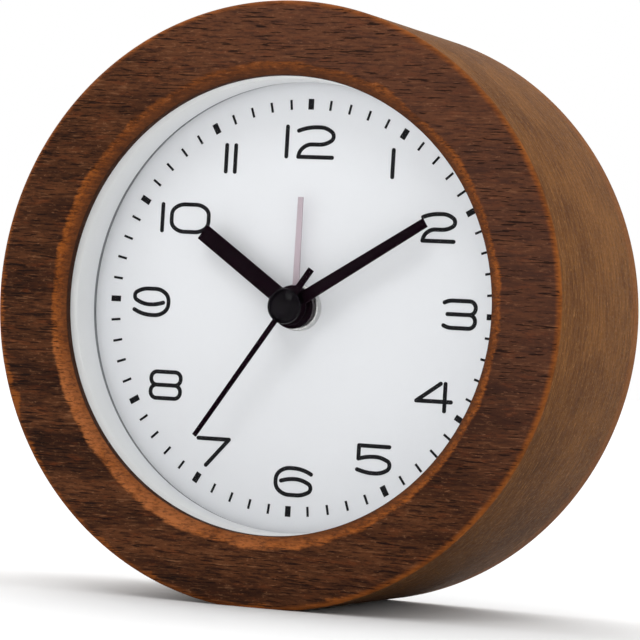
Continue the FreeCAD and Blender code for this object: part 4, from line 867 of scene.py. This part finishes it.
@dataclass
class Hands:
    """The four hands on their hubs, the domed cap and the nut round the arbor."""

    workshop: Workshop
    dial: float = -9.1
    thickness: float = 0.4
    hour: int = 10
    minute: int = 9
    second: float = 35.7
    second_lift: float = 6.3
    push_fit: float = 0.02
    collet_wall: float = 0.48
    collet_depth: float = 0.3
    blade_ease: float = 0.06
    hub_ease: float = 0.08
    collet_ease: float = 0.05
    cap_radius: float = 3.1
    cap_side: float = 0.5
    cap_dome: float = 1.2
    cap_foot_ease: float = 0.06
    cap_ease: float = 0.2
    cap_rings: int = 12
    nut_radius: float = 4.115
    nut_bore: float = 3.005
    nut_height: float = 1.6
    nut_ease: float = 0.25
    nut_bore_ease: float = 0.1
    steps: int = 96
    ease_segments: int = 2
    nut_segments: int = 3
    hand_angle: float = 45
    cap_angle: float = 50
    nut_angle: float = 40

    def sizes(self) -> list[HandSize]:
        """Sizes of the hands, at the time that the clock shows."""
        minute = DEGREES_PER_MINUTE * (self.minute + self.second / 60)
        hour = DEGREES_PER_HOUR * self.hour + minute / 12
        second = DEGREES_PER_MINUTE * self.second
        return [
            HandSize("hour_hand_lacquered", "hour_hand", "hand_black", Body.HOURS, turn=hour,
                     length=21.9, root=3.05, tip=3.0, hub=3.8, lift=3.1, tube=1.56),
            HandSize("minute_hand_lacquered", "minute_hand", "hand_black", Body.MINUTES,
                     turn=minute, length=29.0, root=2.2, tip=1.7, hub=3.25, lift=4.8, tube=1.03),
            HandSize("second_hand_lacquered", "second_hand", "hand_black", Body.SECONDS,
                     turn=second, length=28.3, root=0.95, tip=0.8, hub=2.62,
                     lift=self.second_lift, tube=0.5, tail=8.0, tail_width=1.15),
            HandSize("alarm_hand_painted", "alarm_hand", "hand_pale", Body.ALARM, turn=0.0,
                     length=19.3, root=1.2, tip=0.95, hub=3.0, lift=2.1, tube=2.09),
        ]

    def build(self) -> None:
        """Makes the hands, the cap and the nut in place of their CAD solids."""
        black = Moulded("hand_lacquer", tone(15, 3, 10), roughness=0.3, mottle=0.1, grain_mm=1.5,
                        depth_mm=0.0, shine=0.02)
        pale = Moulded("alarm_hand_paint", tone(190, 175, 183), roughness=0.45, mottle=0.03,
                       grain_mm=1.0, depth_mm=0.001)
        finishes = {"hand_black": black.build(), "hand_pale": pale.build()}
        for size in self.sizes():
            self.hand(size, finishes[size.slot])
        self.cap()
        self.dial_nut()

    def hand(self, size: HandSize, finish: bpy.types.Material) -> None:
        """Makes one hand: its blade, its tail if it has one, its hub disc and its collet."""
        rear = self.dial - size.lift
        front = rear - self.thickness
        bore = size.tube + self.push_fit
        collet = size.tube + self.collet_wall
        collet_rear = rear + self.collet_depth
        start = (collet + size.hub) / 2
        outlines = [[(size.root / 2, start), (size.tip / 2, size.length),
                     (-size.tip / 2, size.length), (-size.root / 2, start)]]
        if size.tail:
            half = size.tail_width / 2
            outlines.append([(-half, -start), (-half, -size.tail), (half, -size.tail),
                             (half, -start)])
        hub = [
            Ring(size.hub, front, self.hub_ease),
            Ring(size.hub, rear, self.collet_ease),
            Ring(collet, rear),
            Ring(collet, collet_rear, self.collet_ease),
            Ring(bore, collet_rear),
            Ring(bore, front),
        ]
        parts = [self.workshop.slab(outline, front, rear, self.blade_ease) for outline in outlines]
        parts.append(self.workshop.turned(hub, self.steps, self.ease_segments))
        shape = self.workshop.joined(parts)
        turn = Matrix.Rotation(math.radians(size.turn), 3, "Y")
        bmesh.ops.rotate(shape, cent=(0, 0, 0), matrix=turn, verts=shape.verts)
        self.workshop.piece(size.name, shape, finish, size.body, [size.node], size.slot,
                            self.hand_angle)

    def cap(self) -> None:
        """Makes the domed cap: a flat rear, a short side and a shallow spherical dome."""
        rear = self.dial - self.second_lift - self.thickness
        side = rear - self.cap_side
        sphere = (self.cap_radius**2 + self.cap_dome**2) / (2 * self.cap_dome)
        top = math.asin(self.cap_radius / sphere)
        profile = [Ring(0.0, rear), Ring(self.cap_radius, rear, self.cap_foot_ease)]
        for ring in range(self.cap_rings, -1, -1):
            angle = top * ring / self.cap_rings
            depth = side - self.cap_dome + sphere - sphere * math.cos(angle)
            ease = self.cap_ease if ring == self.cap_rings else 0.0
            profile.append(Ring(sphere * math.sin(angle), depth, ease))
        shape = self.workshop.turned(profile, self.steps, self.ease_segments)
        gloss = Moulded("cap_gloss", tone(7, 3, 8), roughness=0.2, mottle=0.08, grain_mm=3.0,
                        depth_mm=0.0, shine=0.08).build()
        self.workshop.piece("cap_domed", shape, gloss, Body.SECONDS, ["second_hand_cap"],
                            "cap_black", self.cap_angle)

    def dial_nut(self) -> None:
        """Makes the nickel nut that holds the movement to the dial."""
        top = self.dial - self.nut_height
        profile = [
            Ring(self.nut_radius, top, self.nut_ease),
            Ring(self.nut_radius, self.dial),
            Ring(self.nut_bore, self.dial),
            Ring(self.nut_bore, top, self.nut_bore_ease),
        ]
        shape = self.workshop.turned(profile, self.steps, self.nut_segments)
        nickel = Metal("nickel", (0.66, 0.66, 0.65), roughness=0.28).build()
        self.workshop.piece("nut_nickel", shape, nickel, Body.CLOCK, ["dial_nut"], "nickel",
                            self.nut_angle)


class Movement:
    """Dresses the movement, the battery and the back, which keep their CAD shapes."""

    FINISHES: tuple[tuple[Moulded | Metal, tuple[str, ...]], ...] = (
        (Moulded("shell_black", tone(34, 34, 36), roughness=0.55, mottle=0.1, grain_mm=0.8,
                 depth_mm=0.01),
         ("movement_front_plate", "movement_rear_shell")),
        (Moulded("cover_black", tone(38, 38, 40), roughness=0.58, mottle=0.05, grain_mm=0.4,
                 depth_mm=0.02),
         ("back_cover", "battery_door", "time_set_knob", "alarm_set_knob", "alarm_switch")),
        (Moulded("gear_acetal", tone(222, 220, 208), roughness=0.4, mottle=0.03, grain_mm=1.0,
                 depth_mm=0.003),
         ("hour_wheel", "alarm_wheel", "minute_wheel", "alarm_idler", "centre_wheel",
          "third_wheel", "fifth_wheel", "time_set_stem", "alarm_set_stem")),
        (Moulded("bobbin_cream", tone(214, 206, 184), roughness=0.5, mottle=0.04, grain_mm=1.0),
         ("train_bridge", "coil_bobbin")),
        (Metal("steel", (0.56, 0.56, 0.57), roughness=0.3),
         ("seconds_wheel", "minute_cannon", "movement_screws", "cover_screws")),
        (Metal("contact_nickel", (0.68, 0.67, 0.63), roughness=0.3),
         ("battery_contact_plus", "battery_contact_minus", "quartz_crystal")),
        (Metal("stator_iron", (0.42, 0.42, 0.43), roughness=0.42, lines=(2.0, 9.0, 2.0)),
         ("stator", "coil_core")),
        (Moulded("magnet_grey", tone(62, 63, 68), mottle=0.1, depth_mm=0.01), ("rotor",)),
        (Metal("copper_wire", (0.78, 0.36, 0.18), roughness=0.28, lines=(9.0, 0.4, 0.4)),
         ("coil_winding",)),
        (Moulded("board_green", tone(26, 92, 52), roughness=0.4, mottle=0.18, grain_mm=1.2,
                 depth_mm=0.01),
         ("circuit_board",)),
        (Moulded("chip_black", tone(20, 20, 22), roughness=0.3, mottle=0.1, grain_mm=1.0),
         ("control_chip", "buzzer")),
        (Moulded("rubber", tone(30, 30, 31), roughness=0.8, mottle=0.12, grain_mm=0.5,
                 depth_mm=0.02),
         ("dial_washer",)),
        (Moulded("cell_wrap", tone(150, 154, 160), roughness=0.3, mottle=0.05, grain_mm=3.0,
                 depth_mm=0.002, coat=0.3),
         ("battery",)),
    )

    def build(self) -> None:
        """Gives every remaining CAD node its finish."""
        for finish, nodes in self.FINISHES:
            material = finish.build()
            for node in nodes:
                dress(node, material)


@dataclass(frozen=True)
class Sun:
    """Even light from far off: its direction, its power over a square metre and its width.

    The width is in degrees and softens the shadows.
    """

    name: str
    toward: Point3
    strength: float
    spread: float


@dataclass(frozen=True)
class Panel:
    """Soft rectangular lamp that faces the clock, in metres and watts."""

    name: str
    toward: Point3
    distance: float
    size: Point2
    power: float


@dataclass
class Studio:
    """Pale floor, soft lights and the camera of the photograph."""

    centre: Vector
    camera_place: Point3 = (220.61, -532.24, 42.52)
    camera_turn: Point3 = (90.761, -3.308, 22.449)
    lens: float = 182.16
    sensor: float = 36.0
    horizon: float = 1.0
    overhead: float = 0.45
    horizon_top: float = 0.2
    overhead_from: float = 0.5
    floor_half: float = 6.0
    paper: Moulded = Moulded("floor_paper", (0.71, 0.71, 0.71), roughness=0.85, mottle=0.004,
                             grain_mm=40.0, depth_mm=0.0)
    suns: tuple[Sun, ...] = (
        Sun("sky_light", (0.0, 0.25, 1.0), strength=1.2, spread=90.0),
        Sun("left_light", (-1.0, 0.6, 1.0), strength=1.9, spread=70.0),
        Sun("right_light", (1.0, 0.6, 1.1), strength=1.2, spread=70.0),
    )
    panels: tuple[Panel, ...] = (
        Panel("key", (0.1, -0.72, 0.69), distance=0.8, size=(0.34, 0.34), power=1.16),
        Panel("fill", (-0.6, -1.0, 0.1), distance=1.0, size=(0.6, 0.5), power=0.4),
    )

    def build(self) -> None:
        """Makes the floor, the world, the lights and the camera."""
        self.floor()
        self.world()
        for sun in self.suns:
            self.sun(sun)
        for panel in self.panels:
            self.panel(panel)
        self.camera()
        bpy.context.scene.view_settings.view_transform = "Standard"
        bpy.context.scene.view_settings.look = "None"

    def link(self, name: str, data: bpy.types.ID) -> bpy.types.Object:
        """Puts an object in the scene for its data."""
        made = bpy.data.objects.new(name, data)
        bpy.context.scene.collection.objects.link(made)
        return made

    def floor(self) -> None:
        """Makes the pale floor."""
        shape = bmesh.new()
        bmesh.ops.create_grid(shape, x_segments=1, y_segments=1, size=self.floor_half)
        mesh = bpy.data.meshes.new("floor")
        shape.to_mesh(mesh)
        shape.free()
        made = self.link("floor", mesh)
        mesh.materials.append(self.paper.build())

    def world(self) -> None:
        """Makes the surround: white along the horizon and dimmer overhead."""
        world = bpy.data.worlds.new("surround")
        world.use_nodes = True
        tree = world.node_tree
        ground = tree.nodes["Background"]
        source = tree.nodes.new("ShaderNodeTexCoord")
        parts = tree.nodes.new("ShaderNodeSeparateXYZ")
        fade = tree.nodes.new("ShaderNodeMapRange")
        fade.interpolation_type = "SMOOTHSTEP"
        for key, value in (("From Min", self.horizon_top), ("From Max", self.overhead_from),
                           ("To Min", self.horizon), ("To Max", self.overhead)):
            fade.inputs[key].default_value = value
        tree.links.new(source.outputs["Generated"], parts.inputs[0])
        tree.links.new(parts.outputs["Z"], fade.inputs["Value"])
        tree.links.new(fade.outputs["Result"], ground.inputs["Strength"])
        ground.inputs["Color"].default_value = (1.0, 1.0, 1.0, 1.0)
        bpy.context.scene.world = world

    def sun(self, sun: Sun) -> None:
        """Hangs a far lamp."""
        lamp = bpy.data.lights.new(sun.name, "SUN")
        lamp.energy = sun.strength
        lamp.angle = math.radians(sun.spread)
        self.aim(self.link(sun.name, lamp), Vector(sun.toward))

    def panel(self, panel: Panel) -> None:
        """Hangs a soft lamp about the dial's centre."""
        lamp = bpy.data.lights.new(panel.name, "AREA")
        lamp.shape = "RECTANGLE"
        lamp.size, lamp.size_y = panel.size
        lamp.energy = panel.power
        made = self.link(panel.name, lamp)
        way = Vector(panel.toward).normalized()
        made.location = self.centre + way * panel.distance
        self.aim(made, way)

    def aim(self, lamp: bpy.types.Object, toward: Vector) -> None:
        """Turns a lamp so that it shines from a direction."""
        lamp.rotation_euler = (-toward).to_track_quat("-Z", "Y").to_euler()

    def camera(self) -> None:
        """Sets the camera at the photograph's place."""
        data = bpy.data.cameras.new("photo_camera")
        data.lens = self.lens
        data.sensor_width = self.sensor
        made = self.link("photo_camera", data)
        made.location = Vector(self.camera_place) * MM
        made.rotation_euler = [math.radians(turn) for turn in self.camera_turn]
        bpy.context.scene.camera = made


def main() -> None:
    """Builds the clock and its studio, and logs each CAD node that it dresses."""
    logging.basicConfig(level=logging.INFO, format="%(name)s: %(message)s")
    low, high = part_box("dial_plate")
    centre = Vector((0.0, 0.0, round((low.z + high.z) / 2, 4)))
    workshop = Workshop(centre)
    Case(workshop, Walnut(centre)).build()
    Face(workshop).build()
    Hands(workshop).build()
    Movement().build()
    Studio(centre).build()


if __name__ == "__main__":
    main()
